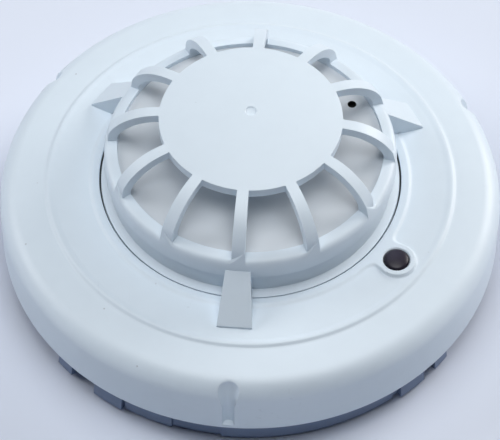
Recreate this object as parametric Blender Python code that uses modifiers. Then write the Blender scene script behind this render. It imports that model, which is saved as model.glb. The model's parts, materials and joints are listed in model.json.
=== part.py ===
"""A point heat detector, face up on its back: a plug-in head that twists onto a ceiling base.

All sizes are in millimetres; MM turns them into Blender's metres. +Z points out of the
detector's face, z = 0 is the back of the base, and the front rib stands at -Y.
Angles are in degrees, counter-clockwise from +X as seen from the face.
"""

import math

import bmesh
import bpy
from mathutils import Matrix, Vector

MM = 0.001
GAP = 0.3  # left between two pieces that touch
JOIN = 0.5  # how deep a joined shape reaches into what carries it
OVERCUT = 1.0  # how far a cutter runs past the face it cuts
STEPS = 60  # facets round a large turned piece
INNER_STEPS = 40  # facets round a turned piece that the covers hide
SMALL_STEPS = 12  # facets round a screw, pin or hole
LENS_STEPS = 24  # facets round the indicator, the sensor bead and the tool notches

# ---------------------------------------------------------------- driving sizes

# Outer cover
COVER_RADIUS = 52.0
COVER_WALL = 2.0
SIDE_WALL_HEIGHT = 9.5
SHOULDER_RADIUS = 4.5
SHOULDER_RISE = 0.8  # gentle slope between the shoulder and the soft step
STEP_INSET = 9.7  # soft step, in from the cover's edge
SOFT_STEP = 0.4
DECK_FALL = 0.3
STEP_RING_WIDTH = 1.9
STEP_RING_RISE = 0.5
OPENING_RADIUS = 31.2
LEDGE_WIDTH = 1.6  # shelf that the cage's flange sits on
LEDGE_DROP = 1.3
LEDGE_THICKNESS = 1.3
COVER_SCREW_INSET = 8.0
COVER_BOSS_RADIUS = 2.8
COVER_BOSS_DROP = 1.2  # top of a boss, below the deck that it stands under

# Tool notches in the rim
NOTCH_ANGLES = (-90.0, 30.0, 150.0)
NOTCH_MOUTH_RADIUS = 2.35
NOTCH_SLOT_RADIUS = 1.25
NOTCH_MOUTH_DEPTH = 1.0  # of the full-width mouth, below the shoulder's top
NOTCH_FUNNEL = 5.0
NOTCH_FLOOR = 1.3  # closed end, above the skirt's edge

# Indicator
LED_OFFSET = 5.3  # outside the opening
LED_ANGLE = -31.2
LED_LENS_RADIUS = 2.5
LED_PAD_RADIUS = 4.0
LED_PAD_RISE = 0.1
LED_PAD_DEPTH = 5.6  # of the tube that guides the light, below the pad
LED_DOME_RISE = 0.9
LED_RIM_DROP = 0.2  # edge of the lens, below the pad
LED_CHIP_SIZE = (3.2, 2.8, 1.4)

# Cage over the sensing chamber
RIB_COUNT = 12
RIB_WIDTH_AT_DISC = 2.35
RIB_WIDTH_AT_RING = 2.8
RIB_DEPTH = 1.9
DISC_RADIUS = 18.6
DISC_THICKNESS = 2.0
DISC_CROWN = 2.2
DISC_RISE = 9.5  # disc edge above the ring's crest
DIMPLE_RADIUS = 1.2
DIMPLE_DEPTH = 0.3
RING_RISE = 9.3  # ring's crest above the cover's step ring
RING_WALL = 2.8
RING_LIP = 4.1  # crest down to the lip
RING_RECESS = 0.8
RING_BAND_FALL = 0.7
FLANGE_WIDTH = 0.9
FLANGE_THICKNESS = 1.0
CAGE_SKIRT_DEPTH = 4.6  # cage wall below the cover's step ring
FIN_ANGLES = (-90.0, 30.0, 150.0)
FIN_REACH = 7.1  # fin's foot, out from the opening
FIN_TOP_DROP = 2.1  # fin's top, below the ring's crest
FIN_WIDTH_TOP = 6.2
FIN_WIDTH_FOOT = 7.1
FIN_DRAFT = 0.05
FIN_ROOT = 1.2  # reach of a fin into the ring's wall
SNAP_ANGLES = (-30.0, 90.0, 210.0)
SNAP_REACH = 1.0
SNAP_HEIGHT = 1.4
SNAP_HALF_SPAN = 5.0

# Chamber floor and the temperature sensor
FLOOR_DROP = 0.3  # floor's edge, below the ring's crest
FLOOR_RISE = 0.4
FLOOR_WALL = 1.8
SENSOR_BOSS_RADIUS = 4.0
SENSOR_BOSS_HEIGHT = 1.4
SLEEVE_RADIUS = 2.2
SLEEVE_RISE = 1.0
LEAD_RADIUS = 0.3
LEAD_SPACING = 1.8
BEAD_RADIUS = 1.6
BEAD_HEIGHT = 3.6
BEAD_DROP = 2.5  # top of the bead, below the disc's underside
PORT_RADIUS = 0.9
PORT_DEPTH = 1.2
PORT_ANGLE = 33.6
PORT_EDGE = 2.1  # floor left outside the port
SLEEVE_TAIL = 0.6  # of the sleeve below the chamber floor

# Lower housing
COLLAR_DROP = 7.2  # how far the collar shows below the cover's skirt
COLLAR_LIFT = 0.3  # collar's edge above the back of the base
COLLAR_WALL = 1.7
COLLAR_INSET = 1.0  # collar, in from the inside of the cover's wall
COLLAR_OVERLAP = 5.5  # collar wall inside the skirt
FLOOR_PLATE = 1.8
PLATE_ABOVE_SKIRT = 2.1  # underside of the floor plate, above the skirt's edge
COLLAR_GAPS = ((-163.0, -137.0), (-132.0, -124.8), (-39.5, -35.8), (-31.0, -5.0), (83.0, 109.0))
COLLAR_PADS = ((-116.0, -103.9, 0.5), (-92.0, -49.0, 0.4))
COLLAR_TABS = ((-137.0, -132.0), (-124.8, -116.6), (-47.2, -39.5), (-35.8, -31.0))
TAB_FOOT = 1.3
TAB_TOP = 0.4
STANDOFF_HEIGHT = 2.3
STANDOFF_RADIUS = 3.0
BOARD_SCREW_OFFSET = 1.8  # outside the cover's opening
BOARD_SCREW_ANGLES = (0.0, 120.0, 240.0)
COVER_SCREW_ANGLES = (60.0, 180.0, 300.0)

# Bayonet
LUG_ANGLES = (-92.0, 28.0, 148.0)  # trailing edge of each lug when locked
LUG_SPAN = 14.0
LUG_REACH = 2.4
LUG_THICKNESS = 2.2
LUG_LIFT = 0.9  # above the collar's edge
LUG_PLAY = 0.4  # between the lugs and the base's wall
HOOK_PLAY = 0.5  # between the hooks and the collar
TWIST = 18.0  # turn between locked and free
LEDGE_HANG = 0.6  # hook beyond the lug when locked
STOP_SPAN = 2.0
STOP_GAP = 0.4

# Base
BACK_PLATE = 2.0
BASE_RIM_WALL = 2.0
RIM_CLEARANCE = 0.7  # base rim, below the cover screws' heads
HOOK_THICKNESS = 2.2
CABLE_HOLE_RADIUS = 11.0
SLOT_WIDTH = 5.0
SLOT_START = 25.5
SLOT_END = 34.5
TERMINAL_ANGLES = (45.0, 135.0, 225.0, 315.0)
TERMINAL_RADIUS = 34.0
BLOCK_SIZE = 9.0
STRIP_THICKNESS = 0.6
STRIP_WIDTH = 7.0
STRIP_OUTER = 4.0  # of the strip, outside its screw
STRIP_INNER = 5.2  # and inside it
WASHER_SIZE = 6.0
WASHER_THICKNESS = 1.0
TERMINAL_SCREW_RADIUS = 1.5
TERMINAL_HEAD_RADIUS = 2.9
TERMINAL_HEAD_HEIGHT = 1.7
TERMINAL_HEAD_CLEARANCE = 1.0  # below the head's floor plate
TERMINAL_TIP_SINK = 0.8  # of the screw's tip into the back plate
LEAF_LENGTH = 8.4
LEAF_WIDTH = 3.2
LEAF_THICKNESS = 0.5

# Circuit board and what is on it
BOARD_THICKNESS = 1.6
BOARD_MARGIN = 4.1  # board outside the indicator's middle
BOARD_SCREW_RADIUS = 1.0
BOARD_SCREW_FLOOR = 0.6  # plate left under a board screw's hole
BOARD_HEAD_RADIUS = 2.4
BOARD_HEAD_HEIGHT = 1.5
COVER_SCREW_RADIUS = 1.15
COVER_HEAD_RADIUS = 2.4
COVER_HEAD_HEIGHT = 1.5
COVER_SCREW_BORE = 7.2  # depth of the screw's hole above the floor plate
CONTACT_LENGTH = 6.0
CONTACT_WIDTH = 5.2
CONTACT_THICKNESS = 0.6
CONTACT_PIN_RADIUS = 0.7
CONTACT_INSET = 0.5  # middle of a contact, outside the leaf's tip
PIN_STAND = 0.6  # of the contact pin above the board
# (name, size along, across and up, share of the contacts' radius, angle, turn)
BOXED_COMPONENTS = (
    ("control_chip", (8.6, 3.9, 1.6), 0.57, 160.0, 90.0),
    ("bridge_rectifier", (6.5, 4.6, 2.4), 0.68, -20.0, 30.0),
    ("output_transistor", (4.5, 2.6, 4.4), 0.724, -76.4, 0.0),
    ("surge_suppressor", (5.2, 3.6, 2.2), 0.777, -106.5, 15.0),
)
RESISTOR_SIZE = (1.6, 3.1, 0.7)
RESISTOR_PITCH = 4.0
RESISTOR_SHARE = 0.607
CAPACITOR_RADIUS = 3.15
CAPACITOR_HEIGHT = 8.0
CAPACITOR_SHARE = 0.70
CAPACITOR_ANGLE = 25.0

# ------------------------------------------------------------- sizes that follow

skirt_z = COLLAR_LIFT + COLLAR_DROP
wall_top_z = skirt_z + SIDE_WALL_HEIGHT
shoulder_z = wall_top_z + SHOULDER_RADIUS
shoulder_start = COVER_RADIUS - SHOULDER_RADIUS
step_radius = COVER_RADIUS - STEP_INSET
step_low_z = shoulder_z + SHOULDER_RISE
step_high_z = step_low_z + SOFT_STEP
deck_z = step_high_z + DECK_FALL
step_ring_z = deck_z + STEP_RING_RISE
step_ring_radius = OPENING_RADIUS + STEP_RING_WIDTH
ledge_z = step_ring_z - LEDGE_DROP
ledge_low_z = ledge_z - LEDGE_THICKNESS
ledge_radius = OPENING_RADIUS - LEDGE_WIDTH
cover_inside = COVER_RADIUS - COVER_WALL
cover_screw_radius = COVER_RADIUS - COVER_SCREW_INSET

flange_radius = OPENING_RADIUS - GAP
flange_z = ledge_z + GAP
ring_radius = flange_radius - FLANGE_WIDTH
ring_inside = ring_radius - RING_WALL
recess_radius = ring_radius - RING_RECESS
crest_z = step_ring_z + RING_RISE
lip_z = crest_z - RING_LIP
cage_foot_z = step_ring_z - CAGE_SKIRT_DEPTH
disc_edge_z = crest_z + DISC_RISE
fin_foot_radius = OPENING_RADIUS + FIN_REACH
fin_top_z = crest_z - FIN_TOP_DROP

plate_z = skirt_z + PLATE_ABOVE_SKIRT
plate_top_z = plate_z + FLOOR_PLATE
collar_radius = cover_inside - COLLAR_INSET
collar_inside = collar_radius - COLLAR_WALL
collar_top_z = skirt_z + COLLAR_OVERLAP
board_z = plate_top_z + STANDOFF_HEIGHT + GAP
board_top_z = board_z + BOARD_THICKNESS
board_screw_radius = OPENING_RADIUS + BOARD_SCREW_OFFSET
led_radius = OPENING_RADIUS + LED_OFFSET
board_radius = led_radius + BOARD_MARGIN

floor_radius = ring_inside - GAP
floor_edge_z = crest_z - FLOOR_DROP
floor_top_z = floor_edge_z + FLOOR_RISE
sensor_boss_z = floor_top_z + SENSOR_BOSS_HEIGHT
sleeve_top_z = sensor_boss_z + SLEEVE_RISE
bead_top_z = disc_edge_z - DISC_THICKNESS - BEAD_DROP + DISC_CROWN
port_radius = floor_radius - PORT_RADIUS - PORT_EDGE

lug_low_z = COLLAR_LIFT + LUG_LIFT
lug_top_z = lug_low_z + LUG_THICKNESS
lug_inside = collar_inside - LUG_REACH
hook_low_z = lug_top_z + GAP
hook_top_z = hook_low_z + HOOK_THICKNESS
base_radius = lug_inside - LUG_PLAY
hook_radius = collar_inside - HOOK_PLAY
base_rim_z = plate_z - GAP - COVER_HEAD_HEIGHT - RIM_CLEARANCE

terminal_head_z = plate_z - TERMINAL_HEAD_CLEARANCE - TERMINAL_HEAD_HEIGHT
terminal_tip_z = BACK_PLATE - TERMINAL_TIP_SINK
washer_top_z = terminal_head_z - GAP
washer_z = washer_top_z - WASHER_THICKNESS
strip_top_z = washer_z - GAP
strip_z = strip_top_z - STRIP_THICKNESS
block_z = strip_z - GAP
leaf_root_radius = TERMINAL_RADIUS - STRIP_INNER - GAP
leaf_tip_radius = leaf_root_radius - LEAF_LENGTH
contact_top_z = plate_z - GAP
contact_z = contact_top_z - CONTACT_THICKNESS
contact_radius = leaf_tip_radius + CONTACT_INSET
pad_top_z = step_ring_z + LED_PAD_RISE
component_z = board_top_z + GAP


# ------------------------------------------------------------------- scene set-up

for leftover in list(bpy.data.objects):
    bpy.data.objects.remove(leftover, do_unlink=True)

PARTS = bpy.data.collections.new("heat_detector")
CUTTERS = bpy.data.collections.new("cutters")
CUTTERS.hide_render = True
bpy.context.scene.collection.children.link(PARTS)
bpy.context.scene.collection.children.link(CUTTERS)


def material(name, colour, roughness, metallic=0.0):
    made = bpy.data.materials.new(name)
    made.use_nodes = True
    shader = made.node_tree.nodes["Principled BSDF"]
    shader.inputs["Base Color"].default_value = (*colour, 1.0)
    shader.inputs["Roughness"].default_value = roughness
    shader.inputs["Metallic"].default_value = metallic
    return made


WHITE = material("moulded_white", (0.80, 0.84, 0.87), 0.45)
GREY = material("housing_grey_white", (0.62, 0.65, 0.68), 0.5)
BOARD = material("board_green", (0.03, 0.22, 0.10), 0.4)
BLACK = material("black_epoxy", (0.02, 0.02, 0.02), 0.5)
LENS = material("smoked_lens", (0.10, 0.02, 0.04), 0.1)
BRASS = material("brass", (0.75, 0.58, 0.28), 0.3, 1.0)
STEEL = material("plated_steel", (0.65, 0.66, 0.68), 0.3, 1.0)
RUBBER = material("sleeve_grey", (0.25, 0.25, 0.26), 0.8)
RESIN = material("sensor_resin", (0.03, 0.10, 0.30), 0.3)


# ---------------------------------------------------------------------- helpers


def polar(radius, angle):
    turn = math.radians(angle)
    return radius * math.cos(turn), radius * math.sin(turn)


def arc(centre_r, centre_z, radius, start, end, count):
    """Points along an arc in the (r, z) plane, angles in degrees from +r."""
    points = []
    for i in range(count + 1):
        turn = math.radians(start + (end - start) * i / count)
        points.append((centre_r + radius * math.cos(turn), centre_z + radius * math.sin(turn)))
    return points


def add_object(name, mesh, look, collection=PARTS):
    mesh.name = name
    if look:
        mesh.materials.append(look)
    made = bpy.data.objects.new(name, mesh)
    collection.objects.link(made)
    if collection is CUTTERS:
        made.hide_render = True
        made.display_type = "WIRE"
    return made


def from_bmesh(name, bm, look=None, collection=PARTS, smooth=True):
    bmesh.ops.recalc_face_normals(bm, faces=bm.faces)
    mesh = bpy.data.meshes.new(name)
    bm.to_mesh(mesh)
    bm.free()
    if smooth:
        mesh.shade_smooth()
        mesh.set_sharp_from_angle(angle=math.radians(35))
    return add_object(name, mesh, look, collection)


def turned(name, profile, look=None, steps=STEPS, collection=PARTS, closed=True):
    """A turned piece: the profile runs down the outer side and back up the inner side."""
    mesh = bpy.data.meshes.new(name)
    points = [(r * MM, 0.0, z * MM) for r, z in profile]
    edges = [(i, i + 1) for i in range(len(points) - 1)]
    if closed:
        edges.append((len(points) - 1, 0))
    mesh.from_pydata(points, edges, [])
    made = add_object(name, mesh, look, collection)
    screw = made.modifiers.new("turn", "SCREW")
    screw.axis = "Z"
    screw.steps = steps
    screw.render_steps = steps
    screw.use_merge_vertices = True
    screw.merge_threshold = 0.00001
    screw.use_smooth_shade = True
    return made


def apply_matrix(bm, matrix):
    bmesh.ops.transform(bm, matrix=matrix, verts=bm.verts)


def turn_z(angle):
    return Matrix.Rotation(math.radians(angle), 4, "Z")


def add_cylinder(bm, radius, low, high, x=0.0, y=0.0, top_radius=None, steps=SMALL_STEPS):
    top = radius if top_radius is None else top_radius
    place = Matrix.Translation((x * MM, y * MM, (low + high) / 2 * MM))
    bmesh.ops.create_cone(
        bm,
        cap_ends=True,
        segments=steps,
        radius1=radius * MM,
        radius2=top * MM,
        depth=(high - low) * MM,
        matrix=place,
    )


def add_block(bm, size, low, high, x=0.0, y=0.0, angle=0.0):
    """A block of size (along, across) standing from low to high, turned about its own middle."""
    scale = Matrix.Diagonal((size[0] * MM, size[1] * MM, (high - low) * MM, 1.0))
    place = Matrix.Translation((x * MM, y * MM, (low + high) / 2 * MM))
    bmesh.ops.create_cube(bm, size=1.0, matrix=place @ turn_z(angle) @ scale)


def extrude_outline(bm, points, rise):
    """Fills a loop of points and extrudes it; rise(point) gives where each point goes."""
    ring = [bm.verts.new(point) for point in points]
    face = bm.faces.new(ring)
    made = bmesh.ops.extrude_face_region(bm, geom=[face])
    for item in made["geom"]:
        if isinstance(item, bmesh.types.BMVert):
            item.co = rise(item.co)


def add_sector(bm, inner, outer, low, high, start, end, outer_top=None):
    """A stretch of ring between two angles; outer_top slopes its outer face."""
    count = max(2, math.ceil((end - start) / 5.0))
    angles = [start + (end - start) * i / count for i in range(count + 1)]
    slope = 1.0 if outer_top is None else outer_top / outer
    limit = (inner + outer) / 2 * MM

    def rise(point):
        stretch = slope if math.hypot(point.x, point.y) > limit else 1.0
        return (point.x * stretch, point.y * stretch, high * MM)

    points = [(*(c * MM for c in polar(outer, a)), low * MM) for a in angles]
    points += [(*(c * MM for c in polar(inner, a)), low * MM) for a in reversed(angles)]
    extrude_outline(bm, points, rise)


def add_slot(bm, start, end, width, low, high, angle):
    """A round-ended slot along a spoke, from one radius to another."""
    half = width / 2
    outline = arc(end - half, 0.0, half, -90, 90, 6) + arc(start + half, 0.0, half, 90, 270, 6)
    points = [turn_z(angle) @ Vector((r * MM, w * MM, low * MM)) for r, w in outline]
    extrude_outline(bm, points, lambda point: (point.x, point.y, high * MM))


def add_plate(bm, outline, half_width, angle=0.0):
    """An upright plate with an (r, z) outline; half_width(r, z) is its half thickness."""
    start = len(bm.verts)
    points = [(r * MM, -half_width(r, z) * MM, z * MM) for r, z in outline]
    extrude_outline(bm, points, lambda point: (point.x, -point.y, point.z))
    bm.verts.ensure_lookup_table()
    bmesh.ops.rotate(bm, cent=(0, 0, 0), matrix=turn_z(angle), verts=bm.verts[start:])


def boolean(target, operation, bm_or_object, name=""):
    """Cuts or joins another shape, which is kept in the cutters' collection."""
    other = bm_or_object
    if isinstance(bm_or_object, bmesh.types.BMesh):
        other = from_bmesh(f"{target.name}_{name}", bm_or_object, None, CUTTERS)
    step = target.modifiers.new(name or other.name, "BOOLEAN")
    step.operation = operation
    step.object = other
    step.solver = "EXACT"


def cut(target, bm_or_object, name="cut"):
    boolean(target, "DIFFERENCE", bm_or_object, name)


def join(target, bm_or_object, name="join"):
    boolean(target, "UNION", bm_or_object, name)


def soften(target, width, segments=1, angle=40):
    bevel = target.modifiers.new("edges", "BEVEL")
    bevel.width = width * MM
    bevel.segments = segments
    bevel.limit_method = "ANGLE"
    bevel.angle_limit = math.radians(angle)


# ------------------------------------------------------------------ outer cover


def deck_height(radius):
    """Height of the cover's deck between the step ring and the soft step."""
    share = (radius - step_ring_radius) / (step_radius - step_ring_radius)
    return deck_z - DECK_FALL * share


def cover_profile():
    wall = COVER_WALL
    outer = [
        (OPENING_RADIUS, step_ring_z),
        (step_ring_radius - 0.3, step_ring_z),
        (step_ring_radius, deck_z),
        (step_radius - 0.3, step_high_z),
        (step_radius + 0.3, step_low_z),
    ]
    outer += arc(shoulder_start, wall_top_z, SHOULDER_RADIUS, 86, 0, 5)
    outer += [(COVER_RADIUS, skirt_z + 0.3), (COVER_RADIUS - 0.3, skirt_z)]
    inner = [(cover_inside, skirt_z)]
    inner += arc(shoulder_start, wall_top_z, SHOULDER_RADIUS - wall, 0, 86, 3)
    inner += [
        (step_radius, step_low_z - wall),
        (step_ring_radius, ledge_low_z),
        (ledge_radius, ledge_low_z),
        (ledge_radius, ledge_z),
        (OPENING_RADIUS, ledge_z),
    ]
    return outer + inner


def make_cover():
    cover = turned("outer_cover", cover_profile(), WHITE)
    led_x, led_y = polar(led_radius, LED_ANGLE)

    bosses = bmesh.new()
    boss_z = step_low_z - COVER_BOSS_DROP
    for angle in COVER_SCREW_ANGLES:
        x, y = polar(cover_screw_radius, angle)
        add_cylinder(bosses, COVER_BOSS_RADIUS, plate_top_z + GAP, boss_z, x, y)
    tube_z = pad_top_z - LED_PAD_DEPTH
    add_cylinder(bosses, LED_PAD_RADIUS, tube_z, pad_top_z, led_x, led_y, steps=LENS_STEPS)
    join(cover, bosses, "bosses")

    # the pad runs into the step ring by way of a slightly lower and narrower block
    bridge = bmesh.new()
    start = OPENING_RADIUS + 0.8
    middle = polar((start + led_radius) / 2, LED_ANGLE)
    size = (led_radius - start, 2 * LED_PAD_RADIUS - 0.4)
    add_block(bridge, size, deck_z - 0.8, pad_top_z - 0.02, *middle, LED_ANGLE)
    join(cover, bridge, "led_bridge")

    holes = bmesh.new()
    low, high = plate_top_z - OVERCUT, plate_top_z + COVER_SCREW_BORE
    for angle in COVER_SCREW_ANGLES:
        x, y = polar(cover_screw_radius, angle)
        add_cylinder(holes, COVER_SCREW_RADIUS + GAP, low, high, x, y)
    low, high = board_top_z - OVERCUT, pad_top_z + OVERCUT
    add_cylinder(holes, LED_LENS_RADIUS + GAP, low, high, led_x, led_y, steps=LENS_STEPS)
    cut(cover, holes, "holes")

    funnel_top = shoulder_z - NOTCH_MOUTH_DEPTH
    funnel = [
        (0.0, step_ring_z + OVERCUT),
        (NOTCH_MOUTH_RADIUS, step_ring_z + OVERCUT),
        (NOTCH_MOUTH_RADIUS, funnel_top),
        (NOTCH_SLOT_RADIUS, funnel_top - NOTCH_FUNNEL),
        (NOTCH_SLOT_RADIUS, skirt_z + NOTCH_FLOOR),
        (0.0, skirt_z + NOTCH_FLOOR),
    ]
    for i, angle in enumerate(NOTCH_ANGLES):
        notch = turned(f"tool_notch_{i + 1}", funnel, steps=LENS_STEPS, collection=CUTTERS, closed=False)
        x, y = polar(COVER_RADIUS, angle)
        notch.location = (x * MM, y * MM, 0.0)
        cut(cover, notch, notch.name)


# ----------------------------------------------------------------- cage and fins


def disc_height(radius):
    """Height of the crowned disc's top face."""
    return disc_edge_z + DISC_CROWN * (1.0 - (radius / DISC_RADIUS) ** 2)


def rib_outline():
    """Quarter-ellipse rib, from inside the disc's edge down into the ring's crest."""
    root = DISC_RADIUS - 1.1
    reach = ring_radius - root - 0.1
    foot_z = crest_z - 1.2
    rise = disc_height(root) - 0.08 - foot_z
    count = 7
    outline = [(root - 1.4, disc_height(root) - 0.3)]
    for i in range(count + 1):
        turn = math.radians(90.0 * i / count)
        outline.append((root + reach * math.sin(turn), foot_z + rise * math.cos(turn)))
    outline.append((ring_inside + 1.2, foot_z - 0.6))
    for i in range(count, -1, -1):
        turn = math.radians(4.0 + 82.0 * i / count)
        inner_reach = reach - RIB_DEPTH
        inner_rise = rise - RIB_DEPTH
        outline.append((root + inner_reach * math.sin(turn), foot_z + inner_rise * math.cos(turn)))
    outline.append((root - 1.4, disc_height(root) - DISC_THICKNESS + 0.4))
    return outline


def rib_half_width(radius, _height):
    share = (radius - DISC_RADIUS) / (ring_radius - DISC_RADIUS)
    share = min(1.0, max(0.0, share))
    return (RIB_WIDTH_AT_DISC + (RIB_WIDTH_AT_RING - RIB_WIDTH_AT_DISC) * share) / 2


def fin_outline():
    """Ramp from the ring's wall down onto the deck, clear of the cover all the way."""
    over_step = step_ring_z + GAP
    return [
        (recess_radius - FIN_ROOT, fin_top_z),
        (ring_radius, fin_top_z),
        (fin_foot_radius, deck_height(fin_foot_radius) + 2 * GAP),
        (fin_foot_radius, deck_height(fin_foot_radius) + GAP),
        (step_ring_radius + GAP, deck_z + GAP),
        (step_ring_radius + GAP, over_step),
        (flange_radius - 0.2, over_step),
        (flange_radius - 0.2, flange_z + 0.4),
        (recess_radius - FIN_ROOT, flange_z + 0.4),
    ]


def fin_half_width(radius, height):
    share = (radius - ring_radius) / (fin_foot_radius - ring_radius)
    foot = FIN_WIDTH_TOP + (FIN_WIDTH_FOOT - FIN_WIDTH_TOP) * share
    return foot / 2 - FIN_DRAFT * (height - deck_z)


def make_cage():
    ring = [
        (ring_inside, crest_z + RING_BAND_FALL),
        (ring_radius - 1.1, crest_z + 0.3),
        (ring_radius - 0.4, crest_z - 0.1),
        (ring_radius, crest_z - 0.9),
        (ring_radius - 0.05, lip_z + 0.3),
        (ring_radius - 0.25, lip_z),
        (recess_radius, lip_z),
        (recess_radius, flange_z + FLANGE_THICKNESS + 0.3),
        (flange_radius, flange_z + FLANGE_THICKNESS - 0.3),
        (flange_radius, flange_z),
        (ledge_radius - GAP, flange_z),
        (ledge_radius - GAP, cage_foot_z),
        (ring_inside, cage_foot_z),
    ]
    cage = turned("cage_cap", ring, WHITE)

    disc = [(0.0, disc_height(DIMPLE_RADIUS) - DIMPLE_DEPTH)]
    disc += [(DIMPLE_RADIUS - 0.25, disc_height(DIMPLE_RADIUS) - DIMPLE_DEPTH)]
    rings = [DIMPLE_RADIUS] + [DISC_RADIUS * share for share in (0.35, 0.6, 0.8)]
    disc += [(r, disc_height(r)) for r in rings]
    disc += [
        (DISC_RADIUS - 0.5, disc_height(DISC_RADIUS - 0.5)),
        (DISC_RADIUS, disc_edge_z - 0.5),
        (DISC_RADIUS, disc_edge_z - DISC_THICKNESS + 0.4),
        (DISC_RADIUS - 0.5, disc_edge_z - DISC_THICKNESS),
        (DISC_RADIUS * 0.5, disc_height(DISC_RADIUS * 0.5) - DISC_THICKNESS),
        (0.0, disc_height(0.0) - DISC_THICKNESS),
    ]
    cap = turned("cage_disc", disc, collection=CUTTERS, closed=False)
    join(cage, cap, "disc")

    ribs = bmesh.new()
    for i in range(RIB_COUNT):
        add_plate(ribs, rib_outline(), rib_half_width, -90.0 + 360.0 * i / RIB_COUNT)
    join(cage, ribs, "ribs")

    fins = bmesh.new()
    for angle in FIN_ANGLES:
        add_plate(fins, fin_outline(), fin_half_width, angle)
    join(cage, fins, "fins")

    snaps = bmesh.new()
    for angle in SNAP_ANGLES:
        inner = ring_inside + JOIN
        outer = ledge_radius - GAP + SNAP_REACH
        low, high = ledge_low_z - GAP - SNAP_HEIGHT, ledge_low_z - GAP
        start, end = angle - SNAP_HALF_SPAN, angle + SNAP_HALF_SPAN
        add_sector(snaps, inner, outer, low, high, start, end)
    join(cage, snaps, "snaps")


# ------------------------------------------------- chamber floor and the sensor


def make_chamber_floor():
    wall = FLOOR_WALL
    profile = [
        (0.0, sensor_boss_z),
        (SENSOR_BOSS_RADIUS - 0.5, sensor_boss_z),
        (SENSOR_BOSS_RADIUS, sensor_boss_z - 0.5),
        (SENSOR_BOSS_RADIUS + 0.4, floor_top_z),
        (floor_radius * 0.6, floor_top_z - FLOOR_RISE * 0.4),
        (floor_radius - 0.4, floor_edge_z),
        (floor_radius, floor_edge_z - 0.4),
        (floor_radius, component_z),
        (floor_radius - wall, component_z),
        (floor_radius - wall, floor_edge_z - wall),
        (SENSOR_BOSS_RADIUS + 0.4, floor_top_z - wall),
        (0.0, floor_top_z - wall),
    ]
    floor = turned("chamber_floor", profile, GREY, steps=INNER_STEPS, closed=False)
    holes = bmesh.new()
    low, high = floor_top_z - wall - OVERCUT, sensor_boss_z + OVERCUT
    add_cylinder(holes, SLEEVE_RADIUS + GAP, low, high)
    x, y = polar(port_radius, PORT_ANGLE)
    add_cylinder(holes, PORT_RADIUS, floor_edge_z - PORT_DEPTH, floor_edge_z + OVERCUT, x, y)
    cut(floor, holes, "holes")


def make_sensor():
    sleeve = bmesh.new()
    sleeve_low = floor_top_z - FLOOR_WALL - SLEEVE_TAIL
    add_cylinder(sleeve, SLEEVE_RADIUS, sleeve_low, sleeve_top_z)
    sleeve = from_bmesh("sensor_sleeve", sleeve, RUBBER)
    bores = bmesh.new()
    for side in (-1, 1):
        x = side * LEAD_SPACING / 2
        low, high = sleeve_low - OVERCUT, sleeve_top_z + OVERCUT
        add_cylinder(bores, LEAD_RADIUS + GAP, low, high, x)
    cut(sleeve, bores, "bores")

    bead_low = bead_top_z - BEAD_HEIGHT
    round_top = bead_top_z - BEAD_RADIUS
    profile = arc(0.0, round_top, BEAD_RADIUS, 90, 0, 4)
    profile += [(BEAD_RADIUS * 0.85, bead_low + 0.4), (BEAD_RADIUS * 0.7, bead_low), (0.0, bead_low)]
    profile[0] = (0.0, bead_top_z)
    turned("sensor_bead", profile, RESIN, steps=LENS_STEPS, closed=False)

    for number, side in enumerate((-1, 1), start=1):
        lead = bmesh.new()
        x = side * LEAD_SPACING / 2
        add_cylinder(lead, LEAD_RADIUS, component_z, bead_low - GAP, x, steps=10)
        from_bmesh(f"sensor_lead_{number}", lead, STEEL)


# ---------------------------------------------------------------- lower housing


def make_lower_housing():
    profile = [
        (0.0, plate_top_z),
        (collar_inside, plate_top_z),
        (collar_inside, collar_top_z),
        (collar_radius, collar_top_z),
        (collar_radius, COLLAR_LIFT),
        (collar_inside, COLLAR_LIFT),
        (collar_inside, plate_z),
        (0.0, plate_z),
    ]
    housing = turned("lower_housing", profile, GREY, closed=False)

    gaps = bmesh.new()
    for start, end in COLLAR_GAPS:
        inner, outer = collar_inside - OVERCUT, collar_radius + OVERCUT
        add_sector(gaps, inner, outer, -OVERCUT, skirt_z + OVERCUT, start, end)
    cut(housing, gaps, "gaps")

    pads = bmesh.new()
    inner = collar_radius - JOIN
    pad_top = skirt_z - GAP
    for start, end, depth in COLLAR_PADS:
        add_sector(pads, inner, collar_radius + depth, COLLAR_LIFT, pad_top, start, end)
    join(housing, pads, "pads")
    tabs = bmesh.new()
    for start, end in COLLAR_TABS:
        add_sector(
            tabs,
            inner,
            collar_radius + TAB_FOOT,
            COLLAR_LIFT + 0.1,
            pad_top - 0.1,
            start + 0.1,
            end - 0.1,
            collar_radius + TAB_TOP,
        )
    join(housing, tabs, "tabs")

    lugs = bmesh.new()
    outer = collar_inside + JOIN
    for start in LUG_ANGLES:
        add_sector(lugs, lug_inside, outer, lug_low_z, lug_top_z, start, start + LUG_SPAN)
    for angle in BOARD_SCREW_ANGLES:
        x, y = polar(board_screw_radius, angle)
        add_cylinder(lugs, STANDOFF_RADIUS, plate_top_z - JOIN, board_z - GAP, x, y)
    join(housing, lugs, "lugs")

    holes = bmesh.new()
    for angle in BOARD_SCREW_ANGLES:
        x, y = polar(board_screw_radius, angle)
        low, high = plate_z + BOARD_SCREW_FLOOR, board_z + OVERCUT
        add_cylinder(holes, BOARD_SCREW_RADIUS + GAP, low, high, x, y)
    low, high = plate_z - OVERCUT, plate_top_z + OVERCUT
    for angle in COVER_SCREW_ANGLES:
        x, y = polar(cover_screw_radius, angle)
        add_cylinder(holes, COVER_SCREW_RADIUS + GAP, low, high, x, y)
    for angle in TERMINAL_ANGLES:
        x, y = polar(contact_radius, angle)
        add_cylinder(holes, CONTACT_PIN_RADIUS + GAP, low, high, x, y)
    cut(housing, holes, "holes")


# ------------------------------------------------------- screws, pins, contacts


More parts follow.
